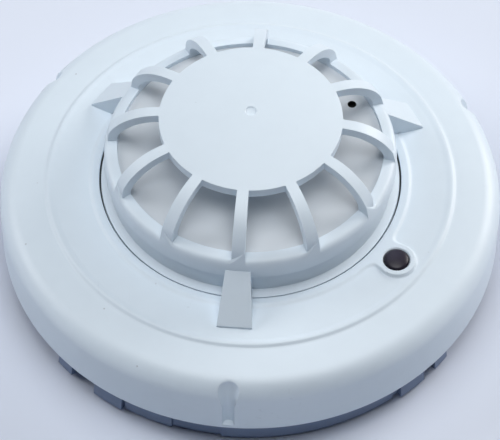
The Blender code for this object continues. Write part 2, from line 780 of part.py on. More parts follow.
def make_screw(name, look, shank, head, head_height, seat_z, tip_z, x, y, driver="cross"):
    """Pan-head screw: it seats at seat_z and its shank ends at tip_z, above or below."""
    up = 1.0 if tip_z < seat_z else -1.0
    crown = seat_z + up * head_height
    profile = [
        (0.0, crown),
        (head * 0.75, crown),
        (head, crown - up * head_height * 0.45),
        (head, seat_z),
        (shank, seat_z),
        (shank, tip_z + up * shank * 0.6),
        (shank * 0.5, tip_z),
        (0.0, tip_z),
    ]
    if up < 0:
        profile.reverse()
    made = turned(name, profile, look, steps=SMALL_STEPS, closed=False)
    made.location = (x * MM, y * MM, 0.0)
    slots = bmesh.new()
    low, high = sorted((crown - up * head_height * 0.5, crown + up * 1.0))
    turns = (0.0, 90.0) if driver == "cross" else (0.0,)
    for index, turn in enumerate(turns):
        arm = head * (1.2 if driver == "cross" else 2.4)
        stagger = 0.02 * index
        add_block(slots, (arm, head * 0.26), low - stagger, high + stagger, x, y, turn)
    if driver == "cross":
        first = from_bmesh(f"{name}_recess", slots, None, CUTTERS)
        cut(made, first, "recess")
        made.modifiers["recess"].use_self = True
    else:
        cut(made, slots, "slot")
    return made


def make_fasteners():
    for number, angle in enumerate(BOARD_SCREW_ANGLES, start=1):
        x, y = polar(board_screw_radius, angle)
        make_screw(
            f"board_screw_{number}",
            STEEL,
            BOARD_SCREW_RADIUS,
            BOARD_HEAD_RADIUS,
            BOARD_HEAD_HEIGHT,
            component_z,
            plate_z + BOARD_SCREW_FLOOR + GAP,
            x,
            y,
        )
    for number, angle in enumerate(COVER_SCREW_ANGLES, start=1):
        x, y = polar(cover_screw_radius, angle)
        make_screw(
            f"cover_screw_{number}",
            STEEL,
            COVER_SCREW_RADIUS,
            COVER_HEAD_RADIUS,
            COVER_HEAD_HEIGHT,
            plate_z - GAP,
            plate_top_z + COVER_SCREW_BORE - GAP,
            x,
            y,
        )


def make_head_contacts():
    for number, angle in enumerate(TERMINAL_ANGLES, start=1):
        x, y = polar(contact_radius, angle)
        plate = bmesh.new()
        add_block(plate, (CONTACT_LENGTH, CONTACT_WIDTH), contact_z, contact_top_z, x, y, angle)
        contact = from_bmesh(f"head_contact_{number}", plate, BRASS, smooth=False)
        pin = bmesh.new()
        add_cylinder(
            pin,
            CONTACT_PIN_RADIUS,
            contact_top_z - CONTACT_THICKNESS / 2,
            board_top_z + PIN_STAND,
            x,
            y,
        )
        join(contact, pin, "pin")


# ----------------------------------------------------------------- circuit board


def make_board():
    disc = bmesh.new()
    add_cylinder(disc, board_radius, board_z, board_top_z, steps=INNER_STEPS)
    board = from_bmesh("circuit_board", disc, BOARD)
    holes = bmesh.new()
    low, high = board_z - OVERCUT, board_top_z + OVERCUT
    for angle in BOARD_SCREW_ANGLES:
        add_cylinder(holes, BOARD_SCREW_RADIUS + GAP, low, high, *polar(board_screw_radius, angle))
    for angle in TERMINAL_ANGLES:
        add_cylinder(holes, CONTACT_PIN_RADIUS + GAP, low, high, *polar(contact_radius, angle))
    cut(board, holes, "holes")
    # only a wider opening brings the board's edge out to the cover's bosses
    bosses = bmesh.new()
    for angle in COVER_SCREW_ANGLES:
        add_cylinder(bosses, COVER_BOSS_RADIUS + GAP, low, high, *polar(cover_screw_radius, angle))
    cut(board, bosses, "boss_clearance")


def make_component(name, look, size, x, y, angle=0.0, edge=0.25):
    """A boxed component that sits on the board."""
    box = bmesh.new()
    add_block(box, size[:2], component_z, component_z + size[2], x, y, angle)
    soften(from_bmesh(name, box, look, smooth=False), edge)


def make_components():
    for name, size, share, angle, turn in BOXED_COMPONENTS:
        make_component(name, BLACK, size, *polar(share * contact_radius, angle), turn)
    for number, place in enumerate((-1, 0, 1), start=1):
        x, y = place * RESISTOR_PITCH, RESISTOR_SHARE * contact_radius
        make_component(f"resistor_{number}", BLACK, RESISTOR_SIZE, x, y, 0.0, 0.1)
    make_component("led_chip", STEEL, LED_CHIP_SIZE, *polar(led_radius, LED_ANGLE), LED_ANGLE)

    # a can with a crimped groove near its foot and a rounded top edge
    radius, low = CAPACITOR_RADIUS, component_z
    high = low + CAPACITOR_HEIGHT
    can = [
        (0.0, high),
        (radius - 0.25, high),
        (radius, high - 0.3),
        (radius, low + 1.6),
        (radius - 0.25, low + 1.2),
        (radius, low + 0.8),
        (radius, low),
        (0.0, low),
    ]
    capacitor = turned("filter_capacitor", can, BLACK, steps=SMALL_STEPS, closed=False)
    x, y = polar(CAPACITOR_SHARE * contact_radius, CAPACITOR_ANGLE)
    capacitor.location = (x * MM, y * MM, 0.0)


def make_light_pipe():
    """Clear rod from over the LED chip up through the pad, with a domed end."""
    low = component_z + LED_CHIP_SIZE[2] + GAP
    rim = pad_top_z - LED_RIM_DROP
    profile = [(0.0, rim + LED_DOME_RISE)]
    for share in (0.4, 0.7, 0.9):
        profile.append((LED_LENS_RADIUS * share, rim + LED_DOME_RISE * math.sqrt(1 - share * share)))
    profile += [(LED_LENS_RADIUS, rim), (LED_LENS_RADIUS, low), (0.0, low)]
    lens = turned("light_pipe", profile, LENS, steps=LENS_STEPS, closed=False)
    x, y = polar(led_radius, LED_ANGLE)
    lens.location = (x * MM, y * MM, 0.0)


# -------------------------------------------------------------------------- base


def make_base():
    profile = [
        (0.0, BACK_PLATE),
        (base_radius - BASE_RIM_WALL, BACK_PLATE),
        (base_radius - BASE_RIM_WALL, base_rim_z),
        (base_radius, base_rim_z),
        (base_radius, 0.0),
        (0.0, 0.0),
    ]
    base = turned("base_plate", profile, GREY, steps=INNER_STEPS, closed=False)

    hooks = bmesh.new()
    inner = base_radius - JOIN
    for start in LUG_ANGLES:
        near = start - STOP_GAP - STOP_SPAN
        far = start + LUG_SPAN + LEDGE_HANG
        add_sector(hooks, inner, hook_radius, hook_low_z, hook_top_z, near, far)
    for angle in TERMINAL_ANGLES:
        x, y = polar(TERMINAL_RADIUS, angle)
        add_block(hooks, (BLOCK_SIZE, BLOCK_SIZE), BACK_PLATE - JOIN, block_z, x, y, angle)
    join(base, hooks, "hooks")
    # one stop under the end of each hook, and one where the lug comes free
    stops = bmesh.new()
    outer = hook_radius - 0.1
    for start in LUG_ANGLES:
        near = start - STOP_GAP
        far = start + LUG_SPAN + TWIST + STOP_GAP
        low_stop = near - STOP_SPAN + 0.2
        add_sector(stops, inner, outer, COLLAR_LIFT, hook_low_z + JOIN, low_stop, near)
        add_sector(stops, inner, outer, COLLAR_LIFT, hook_top_z, far, far + STOP_SPAN)
    join(base, stops, "stops")

    holes = bmesh.new()
    low, high = -OVERCUT, BACK_PLATE + OVERCUT
    add_cylinder(holes, CABLE_HOLE_RADIUS, low, high, steps=48)
    for turn in (0.0, 180.0):
        add_slot(holes, SLOT_START, SLOT_END, SLOT_WIDTH, low, high, turn)
    low, high = terminal_tip_z - GAP, block_z + OVERCUT
    for angle in TERMINAL_ANGLES:
        x, y = polar(TERMINAL_RADIUS, angle)
        add_cylinder(holes, TERMINAL_SCREW_RADIUS + GAP, low, high, x, y)
    cut(base, holes, "holes")


def leaf_outline():
    """Side view of a contact leaf: a rising strip with a rounded bump near its tip."""
    root_z = strip_z + LEAF_THICKNESS / 2
    bump_z = contact_z - GAP - LEAF_THICKNESS / 2
    middle = [
        (leaf_root_radius, root_z),
        (leaf_root_radius - LEAF_LENGTH * 0.15, root_z + 0.1),
        (leaf_tip_radius + LEAF_LENGTH * 0.22, bump_z - 0.35),
        (leaf_tip_radius + LEAF_LENGTH * 0.12, bump_z),
        (leaf_tip_radius + LEAF_LENGTH * 0.05, bump_z - 0.1),
        (leaf_tip_radius, bump_z - 0.9),
    ]
    upper, lower = [], []
    for i, (r, z) in enumerate(middle):
        before = middle[max(0, i - 1)]
        after = middle[min(len(middle) - 1, i + 1)]
        dr, dz = after[0] - before[0], after[1] - before[1]
        length = math.hypot(dr, dz)
        nr, nz = dz / length, -dr / length
        upper.append((r + nr * LEAF_THICKNESS / 2, z + nz * LEAF_THICKNESS / 2))
        lower.append((r - nr * LEAF_THICKNESS / 2, z - nz * LEAF_THICKNESS / 2))
    top = max(z for _, z in upper)
    settle = top - (contact_z - GAP)
    return [(r, z - settle) for r, z in upper + lower[::-1]]


def make_terminals():
    strip_length = STRIP_OUTER + STRIP_INNER
    for number, angle in enumerate(TERMINAL_ANGLES, start=1):
        x, y = polar(TERMINAL_RADIUS, angle)
        mid_x, mid_y = polar(TERMINAL_RADIUS + (STRIP_OUTER - STRIP_INNER) / 2, angle)

        strip = bmesh.new()
        add_block(strip, (strip_length, STRIP_WIDTH), strip_z, strip_top_z, mid_x, mid_y, angle)
        strip = from_bmesh(f"terminal_strip_{number}", strip, BRASS, smooth=False)
        hole = bmesh.new()
        low, high = strip_z - OVERCUT, strip_top_z + OVERCUT
        add_cylinder(hole, TERMINAL_SCREW_RADIUS + GAP, low, high, x, y)
        cut(strip, hole, "hole")

        washer = bmesh.new()
        add_block(washer, (WASHER_SIZE, WASHER_SIZE), washer_z, washer_top_z, x, y, angle)
        washer = from_bmesh(f"clamp_washer_{number}", washer, STEEL, smooth=False)
        hole = bmesh.new()
        low, high = washer_z - OVERCUT, washer_top_z + OVERCUT
        add_cylinder(hole, TERMINAL_SCREW_RADIUS + GAP, low, high, x, y)
        cut(washer, hole, "hole")

        make_screw(
            f"terminal_screw_{number}",
            STEEL,
            TERMINAL_SCREW_RADIUS,
            TERMINAL_HEAD_RADIUS,
            TERMINAL_HEAD_HEIGHT,
            terminal_head_z,
            terminal_tip_z,
            x,
            y,
            driver="slot",
        )

        leaf = bmesh.new()
        add_plate(leaf, leaf_outline(), lambda _r, _z: LEAF_WIDTH / 2, angle)
        from_bmesh(f"contact_leaf_{number}", leaf, BRASS)


make_base()
make_terminals()
make_lower_housing()
make_head_contacts()
make_board()
make_components()
make_fasteners()
make_light_pipe()
make_chamber_floor()
make_sensor()
make_cage()
make_cover()
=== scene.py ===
import json
import math

import bmesh
import bpy
from mathutils import Matrix, Vector


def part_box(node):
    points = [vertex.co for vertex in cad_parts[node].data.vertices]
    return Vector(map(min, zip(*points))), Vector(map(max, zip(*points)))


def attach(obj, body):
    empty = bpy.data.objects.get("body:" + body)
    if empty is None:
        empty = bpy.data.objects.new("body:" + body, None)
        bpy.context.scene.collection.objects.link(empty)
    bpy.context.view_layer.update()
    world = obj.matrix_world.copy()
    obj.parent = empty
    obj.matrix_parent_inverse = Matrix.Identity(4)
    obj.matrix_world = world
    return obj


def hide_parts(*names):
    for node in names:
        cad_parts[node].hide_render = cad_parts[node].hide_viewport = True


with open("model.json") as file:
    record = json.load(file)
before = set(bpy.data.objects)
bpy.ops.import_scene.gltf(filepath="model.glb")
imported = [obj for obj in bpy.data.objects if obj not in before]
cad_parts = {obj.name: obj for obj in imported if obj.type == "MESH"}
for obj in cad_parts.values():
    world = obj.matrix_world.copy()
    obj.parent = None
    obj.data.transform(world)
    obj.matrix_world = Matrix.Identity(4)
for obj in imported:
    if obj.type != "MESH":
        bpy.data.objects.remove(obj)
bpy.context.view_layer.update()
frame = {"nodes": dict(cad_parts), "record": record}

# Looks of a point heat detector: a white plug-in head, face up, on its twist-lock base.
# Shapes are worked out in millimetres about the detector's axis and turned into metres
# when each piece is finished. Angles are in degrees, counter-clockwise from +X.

MM = 0.001


def box_mm(node):
    low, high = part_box(node)
    return low / MM, high / MM


# ------------------------------------------------------- sizes read from the frame

cover_low, cover_high = box_mm("outer_cover")
cage_low, cage_high = box_mm("cage_cap")
housing_low = box_mm("lower_housing")[0]
base_high = box_mm("base_plate")[1]
floor_low, floor_high = box_mm("chamber_floor")
lens_low, lens_high = box_mm("light_pipe")

COVER_RADIUS = cover_high.x
SKIRT_Z = cover_low.z
PAD_Z = cover_high.z
STEP_RING_Z = PAD_Z - 0.1
CROWN_Z = cage_high.z
CAGE_FOOT_Z = cage_low.z
FLOOR_RADIUS = floor_high.x
LENS_X = (lens_low.x + lens_high.x) / 2
LENS_Y = (lens_low.y + lens_high.y) / 2
LENS_RADIUS = (lens_high.x - lens_low.x) / 2
LENS_ANGLE = math.degrees(math.atan2(LENS_Y, LENS_X))
LENS_REACH = math.hypot(LENS_X, LENS_Y)

# ------------------------------------------------------------------- other sizes

# Cover
WALL = 2.0
SHOULDER = 4.5
WALL_TOP_Z = SKIRT_Z + 9.5
STEP_RADIUS = COVER_RADIUS - 9.75
STEP_LOW_Z = WALL_TOP_Z + SHOULDER + 0.8
STEP_HIGH_Z = STEP_LOW_Z + 0.4
STEP_RIDGE = 0.12
DECK_Z = STEP_RING_Z - 0.36
OPENING = 31.2
RING_EDGE = 33.05
LEDGE_RADIUS = 29.6
LEDGE_Z = 22.2
# Where the painted shade in the seam lies, inside the cover's opening
SEAM_INSIDE = OPENING - 0.36
SEAM_SHADE_Z = DECK_Z - 0.3
PAD_RADIUS = 4.0
LENS_PLAY = 0.22

# Cover bosses
BOSS_ANGLES = (60.0, 180.0, 300.0)
BOSS_REACH = COVER_RADIUS - 8.0
BOSS_RADIUS = 2.8
BOSS_BORE = 1.45
BOSS_LOW_Z = 11.7
BOSS_HIGH_Z = STEP_LOW_Z - 1.2
BOSS_BORE_Z = 18.6

# Tool notches
NOTCHES = (-90.0, 30.0, 150.0)
NOTCH_MOUTH = 2.35
NOTCH_SLOT = 1.25
NOTCH_TOP_Z = WALL_TOP_Z + SHOULDER - 1.0
NOTCH_NECK_Z = NOTCH_TOP_Z - 5.0
NOTCH_FLOOR_Z = SKIRT_Z + 1.3

# Cage
RIBS = 12
RING_RADIUS = 30.0
RING_INSIDE = 27.2
CREST_Z = 32.8
LIP_Z = 28.7
RECESS = 29.2
DISC_RADIUS = 18.6
DISC_EDGE_Z = CROWN_Z - 2.2
DISC_SIDE = 2.0
RIB_AT_DISC = 2.35
RIB_AT_RING = 2.8
RIB_ROOT = DISC_RADIUS - 1.1
RIB_FOOT_Z = CREST_Z - 1.2
RIB_SHARES = (0.20, 0.35, 0.50, 0.64, 0.76)
FLANGE_RADIUS = 30.88
FIN_REACH = 38.3
FIN_TOP_Z = 30.75
FIN_TIP_Z = 23.35
FIN_HALF_AT_RING = 2.55
FIN_HALF_AT_TIP = 3.55
FIN_DRAFT = 0.04

# Chamber floor
PORT_RADIUS = 0.9
PORT_REACH = 23.9
PORT_ANGLE = 33.6
BOSS_HEIGHT = 1.4
FLOOR_RISE = 0.4
FLOOR_SPREAD = 0.27


# ------------------------------------------------------------------ mesh helpers


def polar(radius, angle):
    turn = math.radians(angle)
    return radius * math.cos(turn), radius * math.sin(turn)


def blend(low, high, share):
    return low + (high - low) * share


def smooth_step(low, high, value):
    share = min(1.0, max(0.0, (value - low) / (high - low)))
    return share * share * (3 - 2 * share)


def smooth_min(first, second, width):
    """The smaller of two distances, with the corner between them rounded over a width."""
    share = min(1.0, max(0.0, 0.5 + 0.5 * (second - first) / width))
    return blend(second, first, share) - width * share * (1 - share)


def rounded(corners, count=4):
    """An outline through (r, z, fillet) corners, with each corner rounded by its fillet."""
    points = []
    total = len(corners)
    for i, (r, z, fillet) in enumerate(corners):
        here = Vector((r, z))
        before = Vector(corners[i - 1][:2]) - here
        after = Vector(corners[(i + 1) % total][:2]) - here
        if fillet <= 0 or before.length == 0 or after.length == 0:
            points.append(here)
            continue
        half = before.angle(after) / 2
        reach = min(fillet / math.tan(half), before.length * 0.49, after.length * 0.49)
        start = here + before.normalized() * reach
        end = here + after.normalized() * reach
        for k in range(count + 1):
            t = k / count
            points.append(start * (1 - t) ** 2 + here * 2 * t * (1 - t) + end * t**2)
    return [(p.x, p.y) for p in points]


def add_outline(bm, points, angle=0.0, closed=True, middle=(0.0, 0.0)):
    """The edges of an (r, z) outline in the half plane at an angle about an axis."""
    across, along = polar(1.0, angle)
    verts = [bm.verts.new((middle[0] + r * across, middle[1] + r * along, z)) for r, z in points]
    pairs = list(zip(verts, verts[1:]))
    if closed:
        pairs.append((verts[-1], verts[0]))
    return verts + [bm.edges.new(pair) for pair in pairs]


def spin(bm, outline, sweep, steps, middle=(0.0, 0.0)):
    """Turns an outline about the vertical axis through a middle, and gives its far end."""
    made = bmesh.ops.spin(
        bm,
        geom=outline,
        cent=(middle[0], middle[1], 0.0),
        axis=(0.0, 0.0, 1.0),
        angle=math.radians(sweep),
        steps=steps,
    )
    return made["geom_last"]


def turn_round(bm, points, steps, middle=(0.0, 0.0), closed=True):
    """A full turn of an outline, closed on itself."""
    outline = add_outline(bm, points, 0.0, closed, middle)
    bmesh.ops.spin(
        bm,
        geom=outline,
        cent=(middle[0], middle[1], 0.0),
        axis=(0.0, 0.0, 1.0),
        angle=math.tau,
        steps=steps,
        use_merge=True,
    )


def tidy(bm, distance=0.002):
    bmesh.ops.remove_doubles(bm, verts=bm.verts, dist=distance)
    bmesh.ops.dissolve_degenerate(bm, edges=bm.edges, dist=distance / 2)
    bmesh.ops.recalc_face_normals(bm, faces=bm.faces)


def to_object(bm, name, sharp=40.0):
    tidy(bm)
    bmesh.ops.scale(bm, vec=(MM, MM, MM), verts=bm.verts)
    mesh = bpy.data.meshes.new(name)
    bm.to_mesh(mesh)
    bm.free()
    mesh.shade_smooth()
    if sharp:
        mesh.set_sharp_from_angle(angle=math.radians(sharp))
    made = bpy.data.objects.new(name, mesh)
    bpy.context.scene.collection.objects.link(made)
    return made


def place(piece, look, body, slot, *nodes):
    """Gives a finished piece its material and its body, and hides the frame nodes it stands for; its slot
    is not used.
    """
    piece.data.materials.append(look)
    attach(piece, body)
    if nodes:
        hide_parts(*nodes)
    return piece


def soften(piece, width):
    bevel = piece.modifiers.new("edges", "BEVEL")
    bevel.width = width * MM
    bevel.segments = 2
    bevel.limit_method = "ANGLE"
    bevel.angle_limit = math.radians(35.0)


def subdivide(piece):
    surface = piece.modifiers.new("surface", "SUBSURF")
    surface.levels = 2
    surface.render_levels = 2


def cut(piece, cutter_bm, name, overlapping=False):
    """Cuts closed shapes out of a piece, whose own solids may overlap, and applies the cut."""
    cutter = to_object(cutter_bm, name)
    step = piece.modifiers.new(name, "BOOLEAN")
    step.operation = "DIFFERENCE"
    step.object = cutter
    step.solver = "EXACT"
    step.use_self = overlapping
    apply_modifiers(piece)
    piece.data.set_sharp_from_angle(angle=math.radians(35.0))
    bpy.data.objects.remove(cutter, do_unlink=True)


def apply_modifiers(piece):
    graph = bpy.context.evaluated_depsgraph_get()
    graph.update()
    flat = bpy.data.meshes.new_from_object(piece.evaluated_get(graph))
    piece.modifiers.clear()
    piece.data = flat


# --------------------------------------------------------------- shader helpers


class Signal:
    """A value on its way through a material: arithmetic on it adds Math nodes."""

    def __init__(self, look, socket):
        self.look = look
        self.socket = socket

    def __add__(self, other):
        return self.look.math("ADD", self, other)

    def __radd__(self, other):
        return self.look.math("ADD", other, self)

    def __sub__(self, other):
        return self.look.math("SUBTRACT", self, other)

    def __rsub__(self, other):
        return self.look.math("SUBTRACT", other, self)

    def __mul__(self, other):
        return self.look.math("MULTIPLY", self, other)

    def __rmul__(self, other):
        return self.look.math("MULTIPLY", other, self)

    def __truediv__(self, other):
        return self.look.math("DIVIDE", self, other)

    def __lt__(self, other):
        return self.look.math("LESS_THAN", self, other)

    def __gt__(self, other):
        return self.look.math("GREATER_THAN", self, other)

    def clamped(self):
        return self.look.math("MAXIMUM", self.look.math("MINIMUM", self, 1.0), 0.0)


class Look:
    """A material under construction, with one shader and the nodes that feed it."""

    def __init__(self, name, roughness=0.5, metallic=0.0, **fixed):
        self.material = bpy.data.materials.new(name)
        self.material.use_nodes = True
        self.tree = self.material.node_tree
        self.shader = self.tree.nodes["Principled BSDF"]
        self.set("Roughness", roughness)
        self.set("Metallic", metallic)
        for socket, value in fixed.items():
            self.set(socket.replace("_", " "), value)
        self.place = self.node("ShaderNodeTexCoord", output="Object")

    def node(self, kind, settings=None, values=None, output=0):
        """Adds a node: its settings first, then what its sockets hold or are linked to."""
        made = self.tree.nodes.new(kind)
        for name, value in (settings or {}).items():
            if name == "stops":
                self.set_stops(made.color_ramp, value)
            else:
                setattr(made, name, value)
        for name, value in (values or {}).items():
            self.feed(made.inputs[name], value)
        return Signal(self, made.outputs[output])

    def set_stops(self, ramp, stops):
        while len(ramp.elements) < len(stops):
            ramp.elements.new(0.5)
        for element, (position, colour) in zip(ramp.elements, stops):
            element.position = position
            element.color = colour if len(colour) == 4 else (*colour, 1.0)

    def feed(self, socket, value):
        if isinstance(value, Signal):
            self.tree.links.new(value.socket, socket)
        elif socket.type == "RGBA" and len(value) == 3:
            socket.default_value = (*value, 1.0)
        else:
            socket.default_value = value

    def set(self, name, value):
        self.feed(self.shader.inputs[name], value)

    def math(self, operation, *values):
        return self.node("ShaderNodeMath", {"operation": operation}, dict(enumerate(values)))

    def mix(self, share, first, second):
        """First where share is 0 and second where it is 1, for colours."""
        sockets = {0: share, 6: first, 7: second}
        return self.node("ShaderNodeMix", {"data_type": "RGBA"}, sockets, output=2)

    def noise(self, scale, detail=3.0, roughness=0.55, vector=None, distortion=0.0):
        values = {
            "Vector": vector or self.place,
            "Scale": scale,
            "Detail": detail,
            "Roughness": roughness,
            "Distortion": distortion,
        }
        return self.node("ShaderNodeTexNoise", None, values, output="Fac")

    def cells(self, scale):
        values = {"Vector": self.place, "Scale": scale}
        return self.node("ShaderNodeTexVoronoi", {"feature": "F1"}, values, output="Distance")

    def ramp(self, value, *stops):
        grey = [(position, (level, level, level)) for position, level in stops]
        return self.node("ShaderNodeValToRGB", {"stops": grey}, {"Fac": value})

    def axes(self):
        apart = self.node("ShaderNodeSeparateXYZ", None, {0: self.place})
        return [Signal(self, output) for output in apart.socket.node.outputs]

    def shifted(self, turn=(0, 0, 0), scale=(1, 1, 1)):
        """The place of a point, turned and stretched, for patterns with a grain."""
        values = {"Vector": self.place, "Rotation": turn, "Scale": scale}
        return self.node("ShaderNodeMapping", None, values)

    def reach(self, middle=(0.0, 0.0)):
        """Distance from a vertical axis, in millimetres, like the axis's own place."""
        x, y, _ = self.axes()
        x = x / MM - middle[0]
        y = y / MM - middle[1]
        return self.math("SQRT", x * x + y * y)

    def near(self, point, radius):
        """1 at a point given in millimetres, falling to 0 at a radius round it."""
        apart = self.node(
            "ShaderNodeVectorMath",
            {"operation": "DISTANCE"},
            {0: self.place, 1: [c * MM for c in point]},
            output="Value",
        )
        return (1 - apart / (radius * MM)).clamped()

    def bump(self, height, distance, strength=1.0, under=None):
        values = {"Height": height, "Distance": distance * MM, "Strength": strength}
        if under:
            values["Normal"] = under
        return self.node("ShaderNodeBump", None, values)


# ------------------------------------------------------------------- materials


# Specks of dust on the cover: where each lies and its radius, in millimetres
SPECKS = (
    ((-16.6, -28.9, 23.0), 0.35),
    ((-39.4, 25.4, 21.7), 0.30),
    ((-44.2, -20.1, 21.4), 0.28),
    ((-18.5, -47.2, 20.2), 0.28),
)
# A short nick in the step ring, beside the front fin
NICK = (-9.2, -33.4, 23.0)


def moulded_white():
    """Satin white housing plastic: fine eroded texture, faint flow clouding, scuffs, dust, and painted
    shade, near black, inside the opening at the seam.
    """
    look = Look("moulded_white", 0.42, Specular_IOR_Level=0.45)
    clouds = look.noise(24.0, 2.0)
    fine = look.noise(260.0, 3.0)
    base = look.mix(clouds, (0.700, 0.795, 0.880), (0.735, 0.825, 0.905))
    base = look.mix(look.ramp(fine, (0.35, 0.0), (0.75, 0.12)), base, (0.62, 0.70, 0.78))
    lines = look.noise(620.0, 2.0, 0.5, look.shifted(turn=(0, 0, 0.5), scale=(1.0, 0.12, 1.0)), 0.6)
    rubbed = look.ramp(look.noise(55.0, 1.0), (0.62, 0.0), (0.74, 1.0))
    scuffs = look.ramp(lines, (0.66, 0.0), (0.74, 1.0)) * rubbed
    base = look.mix(scuffs * 0.22, base, (0.52, 0.58, 0.65))
    dust = look.ramp(look.cells(230.0), (0.03, 1.0), (0.055, 0.0))
    dust = dust * look.ramp(look.noise(48.0, 1.0), (0.60, 0.0), (0.66, 1.0))
    for point, width in SPECKS:
        dust = dust + look.ramp(look.near(point, width), (0.1, 0.0), (0.6, 1.0))
    nick = look.near(NICK, 1.1) * look.ramp(look.noise(900.0, 1.0), (0.52, 0.0), (0.60, 1.0))
    dust = (dust + nick).clamped()
    base = look.mix(dust * 0.55, base, (0.36, 0.38, 0.42))
    # Painted shade: the inside of the opening below the deck, in the gap at the seam round the cage, is
    # darkened to near black.
    reach = look.reach()
    height = look.axes()[2] / MM
    seam_shade = (reach > SEAM_INSIDE) * (reach < OPENING + 0.02) * (height < SEAM_SHADE_Z)
    base = look.mix(seam_shade * 0.92, base, (0.03, 0.03, 0.035))
    look.set("Base Color", base)
    look.set("Roughness", 0.36 + clouds * 0.10 + scuffs * 0.12)
    grain = look.bump(look.noise(2600.0, 2.0, 0.6), 0.016, 0.55)
    look.set("Normal", look.bump(scuffs, 0.02, 0.3, grain))
    return look.material


def housing_plastic(name, shade, light):
    """The same resin in the inner mouldings, between a shade and a lighter cloud of it."""
    look = Look(name, 0.45, Specular_IOR_Level=0.4)
    clouds = look.noise(30.0, 2.0)
    base = look.mix(clouds, shade, light)
    flow = look.noise(70.0, 3.0, 0.6, look.shifted(scale=(1.0, 0.25, 1.0)))
    base = look.mix(look.ramp(flow, (0.5, 0.0), (0.9, 0.2)), base, [c * 0.85 for c in shade])
    look.set("Roughness", 0.38 + clouds * 0.12)
    look.set("Normal", look.bump(look.noise(2200.0, 2.0, 0.6), 0.014, 0.5))
    return look, base


def shaded_collar_plastic():
    """Housing resin darkened and blued with painted shade, for the twist housing and the base."""
    # Painted shade: the same resin as the chamber floor, darkened and blued for the shade under the
    # cover.
    look, base = housing_plastic("shaded_collar_plastic", (0.19, 0.25, 0.38), (0.22, 0.28, 0.41))
    look.set("Base Color", base)
    return look.material


def chamber_plastic():
    """The chamber's resin, with painted shade, near black, inside its small port."""
    look, base = housing_plastic("chamber_plastic", (0.57, 0.61, 0.65), (0.61, 0.65, 0.69))
    # Painted shade: the inside of the port is coloured near black.
    inside = look.reach(polar(PORT_REACH, PORT_ANGLE)) < PORT_RADIUS + 0.015
    look.set("Base Color", look.mix(inside, base, (0.004, 0.004, 0.005)))
    return look.material


def smoked_lens():
    """Polished dark red indicator lens, with a painted highlight."""
    look = Look("smoked_lens", 0.3, Specular_IOR_Level=0.3)
    haze = look.noise(420.0, 2.0)
    # Painted highlight: a lighter patch on the lens, a little behind and left of its middle.
    middle = look.near((LENS_X - 0.3, LENS_Y + 0.8, lens_high.z), LENS_RADIUS)
    base = look.mix(haze, (0.016, 0.013, 0.023), (0.026, 0.022, 0.035))
    base = look.mix(middle * 0.7, base, (0.064, 0.060, 0.086))
    look.set("Base Color", base)
    look.set("Roughness", 0.30 + haze * 0.12)
    look.set("Normal", look.bump(haze, 0.01, 0.2))
    return look.material


def laminate():
    """Green solder mask over faint copper tracks and glass weave."""
    look = Look("board_laminate", 0.35, Specular_IOR_Level=0.5)
    x, y, _ = look.axes()
    weave = look.math("SINE", x * 9000.0) * look.math("SINE", y * 9000.0)
    tracks = look.node(
        "ShaderNodeTexBrick",
        {"offset": 0.35, "squash": 1.0},
        {"Vector": look.place, "Scale": 60.0, "Mortar Size": 0.06, "Mortar Smooth": 0.2},
        output="Fac",
    )
    base = look.mix(tracks, (0.012, 0.115, 0.045), (0.030, 0.200, 0.080))
    base = look.mix(look.noise(140.0) * 0.3, base, (0.010, 0.080, 0.035))
    look.set("Base Color", base)
    look.set("Roughness", 0.28 + look.noise(300.0) * 0.14)
    look.set("Normal", look.bump(weave, 0.01, 0.3, look.bump(tracks, 0.035, 0.7)))
    return look.material


def epoxy_black():
    """Moulded component bodies with a sandy surface."""
    look = Look("epoxy_black", 0.55)
    grit = look.noise(1800.0, 3.0, 0.7)
    base = look.mix(grit, (0.016, 0.016, 0.017), (0.050, 0.050, 0.052))
    look.set("Base Color", look.mix(look.noise(200.0) * 0.4, base, (0.060, 0.058, 0.055)))
    look.set("Roughness", 0.45 + grit * 0.25)
    look.set("Normal", look.bump(grit, 0.02, 0.6))
    return look.material


def shrink_sleeve():
    """Glossy dark sleeve of the capacitor, with faint shrink ripples."""
    look = Look("shrink_sleeve", 0.25, Coat_Weight=0.3)
    ripple = look.noise(500.0, 2.0, 0.5, look.shifted(scale=(1.0, 1.0, 0.2)))
    look.set("Base Color", look.mix(ripple, (0.010, 0.014, 0.045), (0.024, 0.030, 0.080)))
    look.set("Roughness", 0.20 + ripple * 0.15)
    look.set("Normal", look.bump(ripple, 0.03, 0.4))
    return look.material


def led_epoxy():
    """Cream package of the indicator's light source."""
    look = Look("led_epoxy", 0.3)
    tone = look.noise(900.0, 2.0)
    look.set("Base Color", look.mix(tone, (0.62, 0.56, 0.36), (0.78, 0.72, 0.50)))
    look.set("Roughness", 0.22 + tone * 0.2)
    look.set("Normal", look.bump(tone, 0.01, 0.4))
    return look.material


def rolled_brass():
    """Rolled contact brass, with grain along the strip and light tarnish."""
    look = Look("rolled_brass", 0.3, 1.0)
    grain = look.noise(2600.0, 2.0, 0.5, look.shifted(turn=(0, 0, 0.785), scale=(1.0, 0.06, 1.0)))
    tarnish = look.ramp(look.noise(160.0, 4.0, 0.65), (0.45, 0.0), (0.75, 1.0))
    base = look.mix(grain, (0.66, 0.47, 0.19), (0.84, 0.66, 0.33))
    look.set("Base Color", look.mix(tarnish * 0.55, base, (0.36, 0.22, 0.09)))
    look.set("Roughness", 0.20 + grain * 0.18 + tarnish * 0.20)
    look.set("Normal", look.bump(grain, 0.008, 0.5))
    return look.material


